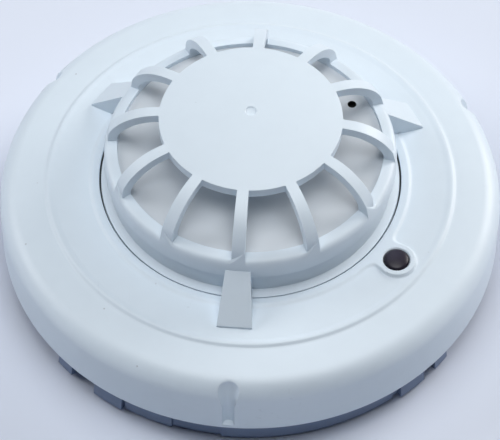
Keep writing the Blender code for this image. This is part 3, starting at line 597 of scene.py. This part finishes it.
def zinc_plate():
    """Bright zinc plating with a passivated tint and fine turning marks."""
    look = Look("zinc_plate", 0.3, 1.0)
    tint = look.noise(220.0, 3.0, 0.6)
    marks = look.noise(3000.0, 2.0, 0.5, look.shifted(scale=(1.0, 0.12, 1.0)))
    base = look.mix(tint, (0.56, 0.58, 0.60), (0.74, 0.74, 0.70))
    look.set("Base Color", look.mix(look.ramp(tint, (0.62, 0.0), (0.8, 0.6)), base, (0.62, 0.56, 0.40)))
    look.set("Roughness", 0.22 + marks * 0.18)
    look.set("Normal", look.bump(marks, 0.008, 0.5))
    return look.material


def sleeve_rubber():
    """Matt grey sealing sleeve."""
    look = Look("sleeve_rubber", 0.8)
    bloom = look.noise(700.0, 4.0, 0.7)
    look.set("Base Color", look.mix(bloom, (0.13, 0.13, 0.14), (0.24, 0.24, 0.25)))
    look.set("Roughness", 0.68 + bloom * 0.2)
    look.set("Normal", look.bump(bloom, 0.03, 0.5))
    return look.material


def sensor_resin():
    """Dipped blue-black resin bead."""
    look = Look("sensor_resin", 0.2, Coat_Weight=0.4)
    wave = look.noise(600.0, 2.0)
    look.set("Base Color", look.mix(wave, (0.008, 0.020, 0.075), (0.020, 0.050, 0.140)))
    look.set("Roughness", 0.14 + wave * 0.12)
    look.set("Normal", look.bump(wave, 0.04, 0.4))
    return look.material


WHITE = moulded_white()
SHADED_HOUSING = shaded_collar_plastic()
FLOOR_LOOK = chamber_plastic()
LENS = smoked_lens()
SLOT_LOOKS = {
    "white_moulding": WHITE,
    "housing_moulding": SHADED_HOUSING,
    "base_moulding": SHADED_HOUSING,
    "board_laminate": laminate(),
    "black_epoxy": epoxy_black(),
    "capacitor_sleeve": shrink_sleeve(),
    "led_package": led_epoxy(),
    "indicator_lens": LENS,
    "contact_brass": rolled_brass(),
    "plated_steel": zinc_plate(),
    "sleeve_rubber": sleeve_rubber(),
    "sensor_resin": sensor_resin(),
}


def dress_frame_nodes():
    """Every node carried over from the frame takes the finish of its material slot."""
    for subpart in frame["record"]["subparts"]:
        node = frame["nodes"][subpart["node"]]
        node.data.materials.clear()
        node.data.materials.append(SLOT_LOOKS[subpart["material_slot"]])


# ------------------------------------------------------------------ outer cover


def deck_outline():
    """The cover's top, from the opening out to the start of the shoulder, in fine steps."""
    points = [(OPENING, STEP_RING_Z - 0.12), (OPENING + 0.12, STEP_RING_Z)]
    fine_end = LENS_REACH + PAD_RADIUS + 0.9
    count = round((fine_end - OPENING - 0.3) / 0.22)
    for i in range(count + 1):
        points.append((blend(OPENING + 0.3, fine_end, i / count), DECK_Z))
    for offset in (-0.7, -0.4, -0.2, 0.0, 0.2, 0.4, 0.8, 1.6, 3.0, 4.4):
        points.append((STEP_RADIUS + offset, DECK_Z))
    return points


def cover_outline():
    outline = deck_outline()
    shoulder = COVER_RADIUS - SHOULDER
    for i in range(17):
        turn = math.radians(blend(84.0, 0.0, i / 16))
        outline.append((shoulder + SHOULDER * math.cos(turn), WALL_TOP_Z + SHOULDER * math.sin(turn)))
    for z in (15.6, 14.2, 12.8, 11.4, 10.0, 9.3, 8.95, 8.8, 8.65, 8.3):
        outline.append((COVER_RADIUS, z))
    inside = COVER_RADIUS - WALL
    outline += [
        (COVER_RADIUS, SKIRT_Z + 0.35),
        (COVER_RADIUS - 0.1, SKIRT_Z + 0.1),
        (COVER_RADIUS - 0.35, SKIRT_Z),
        (inside + 0.3, SKIRT_Z),
        (inside, SKIRT_Z + 0.3),
        (inside, 12.0),
    ]
    for i in range(7):
        turn = math.radians(blend(0.0, 84.0, i / 6))
        radius = SHOULDER - WALL
        outline.append((shoulder + radius * math.cos(turn), WALL_TOP_Z + radius * math.sin(turn)))
    outline += [
        (STEP_RADIUS, STEP_LOW_Z - WALL),
        (RING_EDGE, DECK_Z - WALL),
        (LEDGE_RADIUS, LEDGE_Z - 1.3),
        (LEDGE_RADIUS, LEDGE_Z),
        (OPENING, LEDGE_Z),
    ]
    return outline


def deck_height(reach):
    """Height of the cover's top between the step ring and the shoulder."""
    high = blend(DECK_Z, STEP_HIGH_Z, smooth_step(RING_EDGE, STEP_RADIUS, reach))
    start = COVER_RADIUS - SHOULDER + SHOULDER * math.cos(math.radians(84.0))
    end_z = WALL_TOP_Z + SHOULDER * math.sin(math.radians(84.0))
    low = blend(STEP_LOW_Z, end_z, max(0.0, (reach - STEP_RADIUS) / (start - STEP_RADIUS)) ** 1.3)
    ridge = STEP_RIDGE * (1.0 - smooth_step(0.0, 1.1, abs(reach - STEP_RADIUS + 0.7)))
    return ridge + blend(high, low, smooth_step(STEP_RADIUS - 0.4, STEP_RADIUS + 0.4, reach))


def raised_share(x, y, reach):
    """1 on the step ring and the indicator's pad, which runs into it, and 0 on the deck."""
    to_pad = math.hypot(x - LENS_X, y - LENS_Y) - PAD_RADIUS
    edge = smooth_min(reach - RING_EDGE, to_pad, 3.0)
    softness = blend(0.22, 0.55, smooth_step(0.0, 7.0, to_pad))
    return 1.0 - smooth_step(-softness, softness, edge)


def notch_depth(across, z, extra=0.0):
    """How far a tool notch reaches in from the cover's edge, or nothing outside it."""
    if z < NOTCH_FLOOR_Z - extra:
        return 0.0
    radius = blend(NOTCH_SLOT, NOTCH_MOUTH, smooth_step(NOTCH_NECK_Z, NOTCH_TOP_Z, z)) + extra
    floor = smooth_step(NOTCH_FLOOR_Z - 0.2 - extra, NOTCH_FLOOR_Z + 0.1 - extra, z)
    if abs(across) >= radius:
        return 0.0
    return floor * math.sqrt(radius**2 - across**2)


def shape_cover_point(point):
    x, y, z = point
    reach = math.hypot(x, y)
    angle = math.degrees(math.atan2(y, x))
    shoulder = COVER_RADIUS - SHOULDER
    if z > DECK_Z - 0.01 and reach > OPENING - 0.01:
        if reach < OPENING + 0.29:
            return point
        z = deck_height(reach) + (STEP_RING_Z - deck_height(reach)) * raised_share(x, y, reach)
    if reach > shoulder - 0.5:
        outside = math.hypot(max(reach - shoulder, 0.0), max(z - WALL_TOP_Z, 0.0)) > SHOULDER - WALL / 2
        for notch in NOTCHES:
            turn = (angle - notch + 180.0) % 360.0 - 180.0
            across = reach * math.sin(math.radians(turn))
            if abs(turn) > 8.0:
                continue
            depth = notch_depth(across, z, 0.0 if outside else 1.3)
            reach = smooth_min(reach, COVER_RADIUS - depth, 0.18)
        x, y = polar(reach, angle)
    return Vector((x, y, z))


def cover_stretches():
    """Angular stretches (start, end, steps) round the cover, fine at the notches and the indicator."""
    fine = [(angle - 4.0, angle + 4.0, 52) for angle in NOTCHES]
    fine.append((LENS_ANGLE - 11.0, LENS_ANGLE + 11.0, 76))
    fine.sort()
    stretches = []
    for i, stretch in enumerate(fine):
        start = stretch[1]
        end = fine[(i + 1) % len(fine)][0] + (360.0 if i == len(fine) - 1 else 0.0)
        stretches.append(stretch)
        stretches.append((start, end, round((end - start) / 1.6)))
    return stretches


def add_boss(bm, angle):
    """A screw boss under the cover's top, with a blind bore from below."""
    outline = rounded(
        [
            (0.0, BOSS_HIGH_Z, 0.0),
            (BOSS_RADIUS + 0.25, BOSS_HIGH_Z, 0.0),
            (BOSS_RADIUS, BOSS_LOW_Z, 0.3),
            (BOSS_BORE, BOSS_LOW_Z, 0.2),
            (BOSS_BORE, BOSS_BORE_Z, 0.0),
            (0.0, BOSS_BORE_Z, 0.0),
        ],
        3,
    )
    turn_round(bm, outline, 32, polar(BOSS_REACH, angle), closed=False)


def outer_cover():
    bm = bmesh.new()
    stretches = cover_stretches()
    outline = add_outline(bm, cover_outline(), stretches[0][0])
    for start, end, steps in stretches:
        outline = spin(bm, outline, end - start, steps)
    bmesh.ops.remove_doubles(bm, verts=bm.verts, dist=0.005)
    for vert in bm.verts:
        vert.co = shape_cover_point(vert.co)
    for angle in BOSS_ANGLES:
        add_boss(bm, angle)
    cover = to_object(bm, "cover", 38.0)

    bore = LENS_RADIUS + LENS_PLAY
    outline = [
        (0.0, PAD_Z + 1.0),
        (bore + 0.35, PAD_Z + 1.0),
        (bore + 0.35, PAD_Z - 0.02),
        (bore, PAD_Z - 0.3),
        (bore, 15.0),
        (0.0, 15.0),
    ]
    hole = bmesh.new()
    turn_round(hole, outline, 64, (LENS_X, LENS_Y), closed=False)
    cut(cover, hole, "lens_hole")
    return place(cover, WHITE, "head", "white_moulding", "outer_cover")


# -------------------------------------------------------------------------- cage


def disc_height(reach):
    return DISC_EDGE_Z + (CROWN_Z - DISC_EDGE_Z) * (1.0 - (reach / DISC_RADIUS) ** 2)


def spin_sectors(bm, points, rib_width, radius, closed=True):
    """Turns an outline round in twelve sectors, with a column of faces just as wide as each rib."""
    half_angle = math.degrees(math.asin(rib_width / 2 / radius))
    outline = add_outline(bm, points, -90.0 - half_angle, closed)
    for _ in range(RIBS):
        outline = spin(bm, outline, 2 * half_angle, 1)
        outline = spin(bm, outline, 360.0 / RIBS - 2 * half_angle, 4)


def open_hole(bm, angle, test):
    """Takes out the faces of a rib's column that pass a test and gives the hole's edges."""
    found = []
    for face in bm.faces:
        middle = face.calc_center_median()
        turn = math.degrees(math.atan2(middle.y, middle.x)) - angle
        if abs((turn + 180.0) % 360.0 - 180.0) < 0.5 and test(math.hypot(middle.x, middle.y), middle.z):
            found.append(face)
    edges = [e for f in found for e in f.edges if sum(g in found for g in e.link_faces) == 1]
    bmesh.ops.delete(bm, geom=found, context="FACES_ONLY")
    return edges


def rib_section(bm, angle, share, depth_steps):
    """A loop of edges round a rib where its quarter ellipse has turned through a share of its arc."""
    turn = math.radians(90.0 * share)
    reach = RING_RADIUS - 0.1 - RIB_ROOT
    rise = DISC_EDGE_Z + 0.17 - RIB_FOOT_Z
    outer = Vector((RIB_ROOT + reach * math.sin(turn), RIB_FOOT_Z + rise * math.cos(turn)))
    normal = Vector((math.sin(turn) / reach, math.cos(turn) / rise)).normalized()
    half = blend(RIB_AT_DISC, RIB_AT_RING, share) / 2
    spoke = Vector((*polar(1.0, angle), 0.0))
    side = Vector((-spoke.y, spoke.x, 0.0))
    column = [outer - normal * DISC_SIDE * k / depth_steps for k in range(depth_steps + 1)]
    ring = [(p, half) for p in column] + [(p, -half) for p in reversed(column)]
    verts = [bm.verts.new(spoke * p.x + side * w + Vector((0, 0, p.y))) for p, w in ring]
    return [bm.edges.new(pair) for pair in zip(verts, verts[1:] + verts[:1])]


def cage_ring_outline():
    """The cage's ring: crest, outer wall, lip, recess and flange, then the wall inside the cover."""
    return [
        (RING_INSIDE, CREST_Z + 0.7),
        (28.4, CREST_Z + 0.52),
        (29.15, CREST_Z + 0.34),
        (29.65, CREST_Z - 0.04),
        (29.92, CREST_Z - 0.8),
        (RING_RADIUS, CREST_Z - 1.9),
        (RING_RADIUS, 30.2),
        (RING_RADIUS - 0.05, LIP_Z),
        (RECESS, LIP_Z),
        (RECESS, 26.0),
        (RECESS, 23.75),
        (FLANGE_RADIUS, 23.15),
        (FLANGE_RADIUS, LEDGE_Z + 0.3),
        (LEDGE_RADIUS - 0.3, LEDGE_Z + 0.3),
        (LEDGE_RADIUS - 0.3, CAGE_FOOT_Z),
        (RING_INSIDE, CAGE_FOOT_Z),
        (RING_INSIDE, 26.0),
    ]


def fin_section(bm, angle, reach, top, bottom, half_top, half_bottom):
    spoke = Vector((*polar(1.0, angle), 0.0))
    side = Vector((-spoke.y, spoke.x, 0.0))
    corners = [(half_top, top), (half_bottom, bottom), (-half_bottom, bottom), (-half_top, top)]
    verts = [bm.verts.new(spoke * reach + side * w + Vector((0, 0, z))) for w, z in corners]
    return [bm.edges.new(pair) for pair in zip(verts, verts[1:] + verts[:1])]


def add_fin(bm, angle):
    """A ramp from the ring's wall down to the deck, wider and lower towards its foot."""
    underside = [
        (RING_RADIUS - 1.7, 23.3),
        (RING_RADIUS, 23.56),
        (31.6, 23.56),
        (RING_EDGE + 0.2, 23.56),
        (RING_EDGE + 0.35, 23.04),
        (36.0, 22.95),
        (FIN_REACH, 22.9),
    ]
    loops = []
    for reach, bottom in underside:
        share = max(0.0, (reach - RING_RADIUS) / (FIN_REACH - RING_RADIUS))
        top = blend(FIN_TOP_Z, FIN_TIP_Z, share)
        half_top = blend(FIN_HALF_AT_RING, FIN_HALF_AT_TIP, share)
        half_bottom = half_top + FIN_DRAFT * (top - bottom)
        loops.append(fin_section(bm, angle, reach, top, bottom, half_top, half_bottom))
    for near, far in zip(loops, loops[1:]):
        bmesh.ops.bridge_loops(bm, edges=near + far)
    for end in (loops[0], loops[-1]):
        bmesh.ops.contextual_create(bm, geom=end)


def add_disc(bm, depth_steps):
    """The domed disc with its small middle dimple, its edge split where the ribs start."""
    dimple = [(0.95, disc_height(1.2) - 0.3), (1.2, disc_height(1.2))]
    top = [(r, disc_height(r)) for r in (1.45, 4.0, 8.0, 12.0, 15.0, 17.3)]
    rim = [(DISC_RADIUS, DISC_EDGE_Z - DISC_SIDE * k / depth_steps) for k in range(depth_steps + 1)]
    under = [(r, disc_height(r) - DISC_SIDE) for r in (17.3, 12.0, 6.0)]
    spin_sectors(bm, dimple + top + rim + under, RIB_AT_DISC, DISC_RADIUS, closed=False)


def add_rib(bm, angle, depth_steps):
    """A curved rib bridged from the disc's edge, over its arc, to the ring's crest."""
    near = open_hole(bm, angle, lambda r, z: abs(r - DISC_RADIUS) < 0.2 and z > 39.0)
    for share in RIB_SHARES:
        far = rib_section(bm, angle, share, depth_steps)
        bmesh.ops.bridge_loops(bm, edges=near + far)
        near = far
    far = open_hole(bm, angle, lambda r, z: r > RING_INSIDE + 0.1 and 31.8 < z < 34.0)
    bmesh.ops.bridge_loops(bm, edges=near + far)


def cage_cap():
    bm = bmesh.new()
    depth_steps = 3
    add_disc(bm, depth_steps)
    spin_sectors(bm, cage_ring_outline(), RIB_AT_RING, RING_RADIUS)
    bmesh.ops.remove_doubles(bm, verts=bm.verts, dist=0.005)
    rims = [edge for edge in bm.edges if len(edge.link_faces) == 1]
    bmesh.ops.holes_fill(bm, edges=rims, sides=0)
    for k in range(RIBS):
        add_rib(bm, -90.0 + 360.0 / RIBS * k, depth_steps)
    for angle in NOTCHES:
        add_fin(bm, angle)
    stray = [edge for edge in bm.edges if not edge.link_faces]
    bmesh.ops.delete(bm, geom=stray, context="EDGES")
    cage = to_object(bm, "rib_cage", None)
    soften(cage, 0.26)
    subdivide(cage)
    return place(cage, WHITE, "head", "white_moulding", "cage_cap")


# ---------------------------------------------------------- chamber floor and lens


def chamber_floor():
    middle_z = floor_high.z - BOSS_HEIGHT
    edge_z = middle_z - FLOOR_RISE
    corners = [
        (2.5, floor_high.z, 0.15),
        (4.0, floor_high.z, 0.4),
        (4.4, middle_z, 0.6),
        (FLOOR_RADIUS * 0.6, middle_z - FLOOR_RISE * 0.4, 0.0),
        (FLOOR_RADIUS + FLOOR_SPREAD, edge_z, 0.1),
        (FLOOR_RADIUS + FLOOR_SPREAD, floor_low.z, 0.2),
        (FLOOR_RADIUS - 1.8, floor_low.z, 0.2),
        (FLOOR_RADIUS - 1.8, edge_z - 1.8, 0.8),
        (2.5, middle_z - 1.8, 0.0),
    ]
    bm = bmesh.new()
    turn_round(bm, rounded(corners, 5), 144)
    floor = to_object(bm, "chamber_deck")
    hole = bmesh.new()
    depth_z = edge_z - 1.2
    bore = [(0.0, 40.0), (PORT_RADIUS, 40.0), (PORT_RADIUS, depth_z), (0.0, depth_z)]
    turn_round(hole, bore, 32, polar(PORT_REACH, PORT_ANGLE), closed=False)
    cut(floor, hole, "port")
    return place(floor, FLOOR_LOOK, "head", "housing_moulding", "chamber_floor")


def indicator_lens():
    rim = PAD_Z - 0.2
    outline = []
    for i in range(9):
        share = math.sin(math.radians(90.0 * i / 8))
        outline.append((LENS_RADIUS * share, rim + 0.6 * math.sqrt(max(0.0, 1 - share**2))))
    outline += [
        (LENS_RADIUS, rim - 0.3),
        (LENS_RADIUS, lens_low.z + 0.15),
        (LENS_RADIUS - 0.15, lens_low.z),
        (0.0, lens_low.z),
    ]
    bm = bmesh.new()
    turn_round(bm, outline, 64, (LENS_X, LENS_Y), closed=False)
    return place(to_object(bm, "indicator_lens"), LENS, "head", "indicator_lens", "light_pipe")


# ----------------------------------------------------------------- lower housing

COLLAR_RADIUS = 49.0
COLLAR_WALL = 1.7
COLLAR_INSIDE = COLLAR_RADIUS - COLLAR_WALL
COLLAR_TOP_Z = 13.0
PLATE_LOW_Z = 9.6
PLATE_HIGH_Z = 11.4
HUB_RADIUS = 11.0
POST_TOP_Z = 13.7
GAPS = ((-163.0, -137.0), (-132.0, -124.8), (-39.5, -35.8), (-31.0, -5.0), (83.0, 109.0))
PADS = ((-116.0, -103.9, 0.5), (-92.0, -49.0, 0.4))
LUGS = (-92.0, 28.0, 148.0)
LUG_SWEEP = 14.0
TABS = ((-137.0, -132.0), (-124.8, -116.6), (-47.2, -39.5), (-35.8, -31.0))


def add_sweep(bm, points, start, end, step=1.5):
    """A stretch of an outline turned from one angle to another, closed at both ends."""
    outline = add_outline(bm, points, start)
    far = spin(bm, outline, end - start, max(2, round((end - start) / step)))
    for cap in (outline, far):
        edges = [item for item in cap if isinstance(item, bmesh.types.BMEdge)]
        bmesh.ops.contextual_create(bm, geom=edges)


def solid_stretches():
    """The collar's wall between its gaps, as (start, end) angles."""
    edges = sorted(GAPS)
    starts = [start for start, end in edges[1:]] + [edges[0][0] + 360.0]
    return [(end, following) for (start, end), following in zip(edges, starts)]


def lower_housing():
    bm = bmesh.new()
    low = housing_low.z
    ring = rounded(
        [
            (COLLAR_RADIUS, COLLAR_TOP_Z, 0.3),
            (COLLAR_RADIUS, SKIRT_Z - 0.2, 0.0),
            (COLLAR_INSIDE, SKIRT_Z - 0.2, 0.2),
            (COLLAR_INSIDE, PLATE_LOW_Z, 0.3),
            (HUB_RADIUS, PLATE_LOW_Z, 0.0),
            (HUB_RADIUS, PLATE_HIGH_Z, 0.0),
            (COLLAR_INSIDE, PLATE_HIGH_Z, 0.4),
            (COLLAR_INSIDE, COLLAR_TOP_Z, 0.3),
        ],
        3,
    )
    turn_round(bm, ring, 180)
    hub_high, hub_low = PLATE_HIGH_Z - 0.05, PLATE_LOW_Z + 0.05
    hub = [(0.0, hub_high), (HUB_RADIUS + 0.2, hub_high), (HUB_RADIUS + 0.2, hub_low), (0.0, hub_low)]
    turn_round(bm, hub, 90, closed=False)
    wall = rounded(
        [
            (COLLAR_RADIUS, SKIRT_Z + 0.4, 0.0),
            (COLLAR_RADIUS, low, 0.3),
            (COLLAR_INSIDE, low, 0.3),
            (COLLAR_INSIDE, SKIRT_Z + 0.4, 0.0),
        ],
        3,
    )
    for start, end in solid_stretches():
        add_sweep(bm, wall, start, end)
    root = COLLAR_RADIUS - 0.5
    for start, end, depth in PADS:
        pad = rounded(
            [
                (COLLAR_RADIUS + depth, SKIRT_Z + 0.2, 0.1),
                (COLLAR_RADIUS + depth, low, 0.3),
                (root, low, 0.0),
                (root, SKIRT_Z + 0.2, 0.0),
            ],
            3,
        )
        add_sweep(bm, pad, start, end)
    tab = rounded(
        [
            (COLLAR_RADIUS + 0.4, SKIRT_Z + 0.2, 0.1),
            (COLLAR_RADIUS + 1.3, low + 0.1, 0.25),
            (root, low + 0.1, 0.0),
            (root, SKIRT_Z + 0.2, 0.0),
        ],
        3,
    )
    for start, end in TABS:
        add_sweep(bm, tab, start + 0.1, end - 0.1)
    root = COLLAR_INSIDE + 0.5
    lug = rounded([(root, 3.4, 0.0), (root, 1.2, 0.0), (44.9, 1.2, 0.25), (44.9, 3.4, 0.25)], 3)
    for start in LUGS:
        add_sweep(bm, lug, start, start + LUG_SWEEP)
    post = rounded(
        [
            (1.3, POST_TOP_Z, 0.1),
            (3.0, POST_TOP_Z, 0.2),
            (3.1, PLATE_HIGH_Z - 0.5, 0.0),
            (1.3, PLATE_HIGH_Z - 0.5, 0.0),
        ],
        3,
    )
    for angle in (0.0, 120.0, 240.0):
        turn_round(bm, post, 32, polar(33.0, angle))
    housing = to_object(bm, "twist_housing", 38.0)
    return place(housing, SHADED_HOUSING, "head", "housing_moulding", "lower_housing")


# -------------------------------------------------------------------- base plate

BASE_RADIUS = 44.5
BACK_PLATE = 2.0
CABLE_HOLE = 11.0
SLOT_HALF_WIDTH = 2.5
HOOK_LOW_Z = 3.7
HOOK_HIGH_Z = 5.9
STOP_LOW_Z = 0.4
TERMINALS = (45.0, 135.0, 225.0, 315.0)
BLOCK_REACH = 34.0
BLOCK_SIDE = 9.0
BLOCK_Z = 4.4
BLOCK_BORE = 1.8


def add_slot(bm, side):
    """A round-ended slot along the X axis, right through the back plate."""
    points = []
    for middle, start in ((32.0, -90.0), (28.0, 90.0)):
        for i in range(13):
            across, along = polar(SLOT_HALF_WIDTH, start + 15.0 * i)
            points.append((side * (middle + across), along, -1.0))
    verts = [bm.verts.new(point) for point in points]
    outline = [bm.edges.new(pair) for pair in zip(verts, verts[1:] + verts[:1])]
    face = bmesh.ops.contextual_create(bm, geom=outline)["faces"]
    raised = bmesh.ops.extrude_face_region(bm, geom=face)["geom"]
    moved = [item for item in raised if isinstance(item, bmesh.types.BMVert)]
    bmesh.ops.translate(bm, vec=(0.0, 0.0, BACK_PLATE + 2.0), verts=moved)


def add_block(bm, angle):
    """A square terminal block on the back plate, turned towards the axis."""
    x, y = polar(BLOCK_REACH, angle)
    depth = BLOCK_Z - BACK_PLATE + 0.3
    size = Matrix.Diagonal((BLOCK_SIDE, BLOCK_SIDE, depth, 1.0))
    shape = Matrix.Rotation(math.radians(angle), 4, "Z") @ size
    middle = Matrix.Translation((x, y, BLOCK_Z - depth / 2))
    block = bmesh.ops.create_cube(bm, size=1.0, matrix=middle @ shape)["verts"]
    edges = list({edge for vert in block for edge in vert.link_edges})
    bmesh.ops.bevel(bm, geom=edges, offset=0.4, affect="EDGES", segments=2, profile=0.5, material=-1)


def base_plate():
    bm = bmesh.new()
    rim_z = base_high.z
    inside = BASE_RADIUS - 2.0
    collar = BACK_PLATE + 0.6
    shell = [
        (BASE_RADIUS, rim_z, 0.4),
        (BASE_RADIUS, 0.0, 0.4),
        (CABLE_HOLE, 0.0, 0.3),
        (CABLE_HOLE, collar, 0.3),
        (CABLE_HOLE + 1.4, collar, 0.3),
        (CABLE_HOLE + 1.6, BACK_PLATE, 0.3),
        (inside, BACK_PLATE, 0.8),
        (inside, rim_z, 0.4),
    ]
    turn_round(bm, rounded(shell, 4), 180)
    reach = base_high.x
    stop_reach = reach - 0.1
    root = BASE_RADIUS - 0.5
    roof = [(root, HOOK_LOW_Z, 0.0), (root, HOOK_HIGH_Z, 0.0)]
    hook = rounded([(reach, HOOK_HIGH_Z, 0.3), (reach, HOOK_LOW_Z, 0.3)] + roof, 3)
    joint_z = HOOK_LOW_Z + 0.4
    low_side = [(root, STOP_LOW_Z, 0.0), (root, joint_z, 0.0)]
    low_stop = rounded([(stop_reach, joint_z, 0.0), (stop_reach, STOP_LOW_Z, 0.3)] + low_side, 3)
    far_side = [(root, STOP_LOW_Z, 0.0), (root, HOOK_HIGH_Z, 0.0)]
    far_stop = rounded([(stop_reach, HOOK_HIGH_Z, 0.3), (stop_reach, STOP_LOW_Z, 0.3)] + far_side, 3)
    for start in LUGS:
        add_sweep(bm, hook, start - 2.4, start + LUG_SWEEP + 0.6)
        add_sweep(bm, low_stop, start - 2.2, start - 0.4)
        add_sweep(bm, far_stop, start + 32.4, start + 34.4)
    for angle in TERMINALS:
        add_block(bm, angle)
    plate = to_object(bm, "twist_base", 38.0)

    bores = bmesh.new()
    for side in (-1, 1):
        add_slot(bores, side)
    bore = [(0.0, BLOCK_Z + 1.0), (BLOCK_BORE, BLOCK_Z + 1.0), (BLOCK_BORE, 0.9), (0.0, 0.9)]
    for angle in TERMINALS:
        turn_round(bores, bore, 24, polar(BLOCK_REACH, angle), closed=False)
    cut(plate, bores, "slots_and_bores", overlapping=True)
    return place(plate, SHADED_HOUSING, "base", "base_moulding", "base_plate")


# --------------------------------------------------------------- temperature sensor

LEAD_BORE = 0.6


def sensor_bead():
    low, high = box_mm("sensor_bead")
    radius = (high.x - low.x) / 2
    drop = [(0.0, high.z)]
    for i in range(1, 9):
        turn = math.radians(90.0 - 90.0 * i / 8)
        drop.append((radius * math.cos(turn), high.z - radius * (1 - math.sin(turn))))
    drop += [
        (radius * 0.97, low.z + 1.2),
        (radius * 0.8, low.z + 0.3),
        (radius * 0.5, low.z),
        (0.0, low.z),
    ]
    bm = bmesh.new()
    turn_round(bm, drop, 48, closed=False)
    bead = to_object(bm, "dipped_bead", 60.0)
    return place(bead, SLOT_LOOKS["sensor_resin"], "head", "sensor_resin", "sensor_bead")


def sensor_sleeve():
    low, high = box_mm("sensor_sleeve")
    radius = (high.x - low.x) / 2
    corners = [(0.0, high.z, 0.0), (radius, high.z, 0.5), (radius, low.z, 0.2), (0.0, low.z, 0.0)]
    outline = rounded(corners, 4)
    bm = bmesh.new()
    turn_round(bm, outline, 48, closed=False)
    sleeve = to_object(bm, "sealing_sleeve", 50.0)
    bore = [(0.0, high.z + 1.0), (LEAD_BORE, high.z + 1.0), (LEAD_BORE, low.z - 1.0), (0.0, low.z - 1.0)]
    bores = bmesh.new()
    for node in ("sensor_lead_1", "sensor_lead_2"):
        lead_low, lead_high = box_mm(node)
        turn_round(bores, bore, 16, ((lead_low.x + lead_high.x) / 2, 0.0), closed=False)
    cut(sleeve, bores, "lead_bores")
    return place(sleeve, SLOT_LOOKS["sleeve_rubber"], "head", "sleeve_rubber", "sensor_sleeve")


# ----------------------------------------------------------------- stage and camera


def pale_floor():
    look = Look("floor_paper", 0.9)
    pale = look.mix(look.noise(6.0, 2.0), (0.70, 0.75, 0.86), (0.73, 0.78, 0.89))
    look.set("Base Color", pale)
    look.set("Roughness", 0.85 + look.noise(300.0) * 0.1)
    bm = bmesh.new()
    bmesh.ops.create_grid(bm, x_segments=8, y_segments=8, size=1.5)
    mesh = bpy.data.meshes.new("floor")
    bm.to_mesh(mesh)
    bm.free()
    floor = bpy.data.objects.new("floor", mesh)
    floor.location = (0.0, 0.0, -0.0004)
    bpy.context.scene.collection.objects.link(floor)
    mesh.materials.append(look.material)


def area_light(name, turn, lift, distance, size, power, colour):
    """A soft round light that looks at the detector from a direction, given in degrees."""
    across, along = polar(math.cos(math.radians(lift)), turn)
    towards = Vector((across, along, math.sin(math.radians(lift))))
    lamp = bpy.data.lights.new(name, "AREA")
    lamp.shape = "DISK"
    lamp.size = size
    lamp.energy = power
    lamp.color = colour
    made = bpy.data.objects.new(name, lamp)
    made.location = towards * distance
    made.rotation_euler = (-towards).to_track_quat("-Z", "Y").to_euler()
    bpy.context.scene.collection.objects.link(made)


def studio():
    world = bpy.data.worlds.new("studio")
    world.use_nodes = True
    backdrop = world.node_tree.nodes["Background"]
    backdrop.inputs["Color"].default_value = (0.35, 0.50, 0.90, 1.0)
    backdrop.inputs["Strength"].default_value = 0.01
    bpy.context.scene.world = world
    area_light("overhead", 0.0, 90.0, 1.2, 1.0, 6.0, (0.97, 0.99, 1.0))
    area_light("back_right", 40.0, 24.0, 1.2, 0.7, 9.6, (1.0, 0.97, 0.94))
    area_light("back_left", 165.0, 35.0, 1.2, 0.7, 5.0, (0.97, 0.98, 1.0))
    area_light("front_high", 285.0, 75.0, 1.2, 0.7, 3.2, (0.95, 0.97, 1.0))


CAMERA_TURN = math.radians(4.48)
CAMERA_LIFT = math.radians(52.98)
CAMERA_ROLL = math.radians(0.41)
CAMERA_DISTANCE = 0.6
CAMERA_TARGET_Z = 0.00719


def camera():
    """Looks down at the face from the front, a little to the right, from far enough to be almost flat."""
    turn, lift, roll = CAMERA_TURN, CAMERA_LIFT, CAMERA_ROLL
    target = Vector((0.0, 0.0, CAMERA_TARGET_Z))
    back = Vector((math.sin(turn) * math.cos(lift), -math.cos(turn) * math.cos(lift), math.sin(lift)))
    level = (-back).cross(Vector((0, 0, 1))).normalized()
    upright = level.cross(-back)
    right = level * math.cos(roll) + upright * math.sin(roll)
    up = upright * math.cos(roll) - level * math.sin(roll)
    data = bpy.data.cameras.new("camera")
    data.lens = 204.6
    data.sensor_width = 36.0
    data.shift_y = 0.00516
    made = bpy.data.objects.new("camera", data)
    turned = Matrix((right, up, back)).transposed().to_4x4()
    made.matrix_world = Matrix.Translation(target + back * CAMERA_DISTANCE) @ turned
    bpy.context.scene.collection.objects.link(made)
    bpy.context.scene.camera = made


dress_frame_nodes()
outer_cover()
cage_cap()
chamber_floor()
indicator_lens()
lower_housing()
base_plate()
sensor_bead()
sensor_sleeve()
pale_floor()
studio()
camera()
bpy.context.scene.view_settings.view_transform = "Standard"
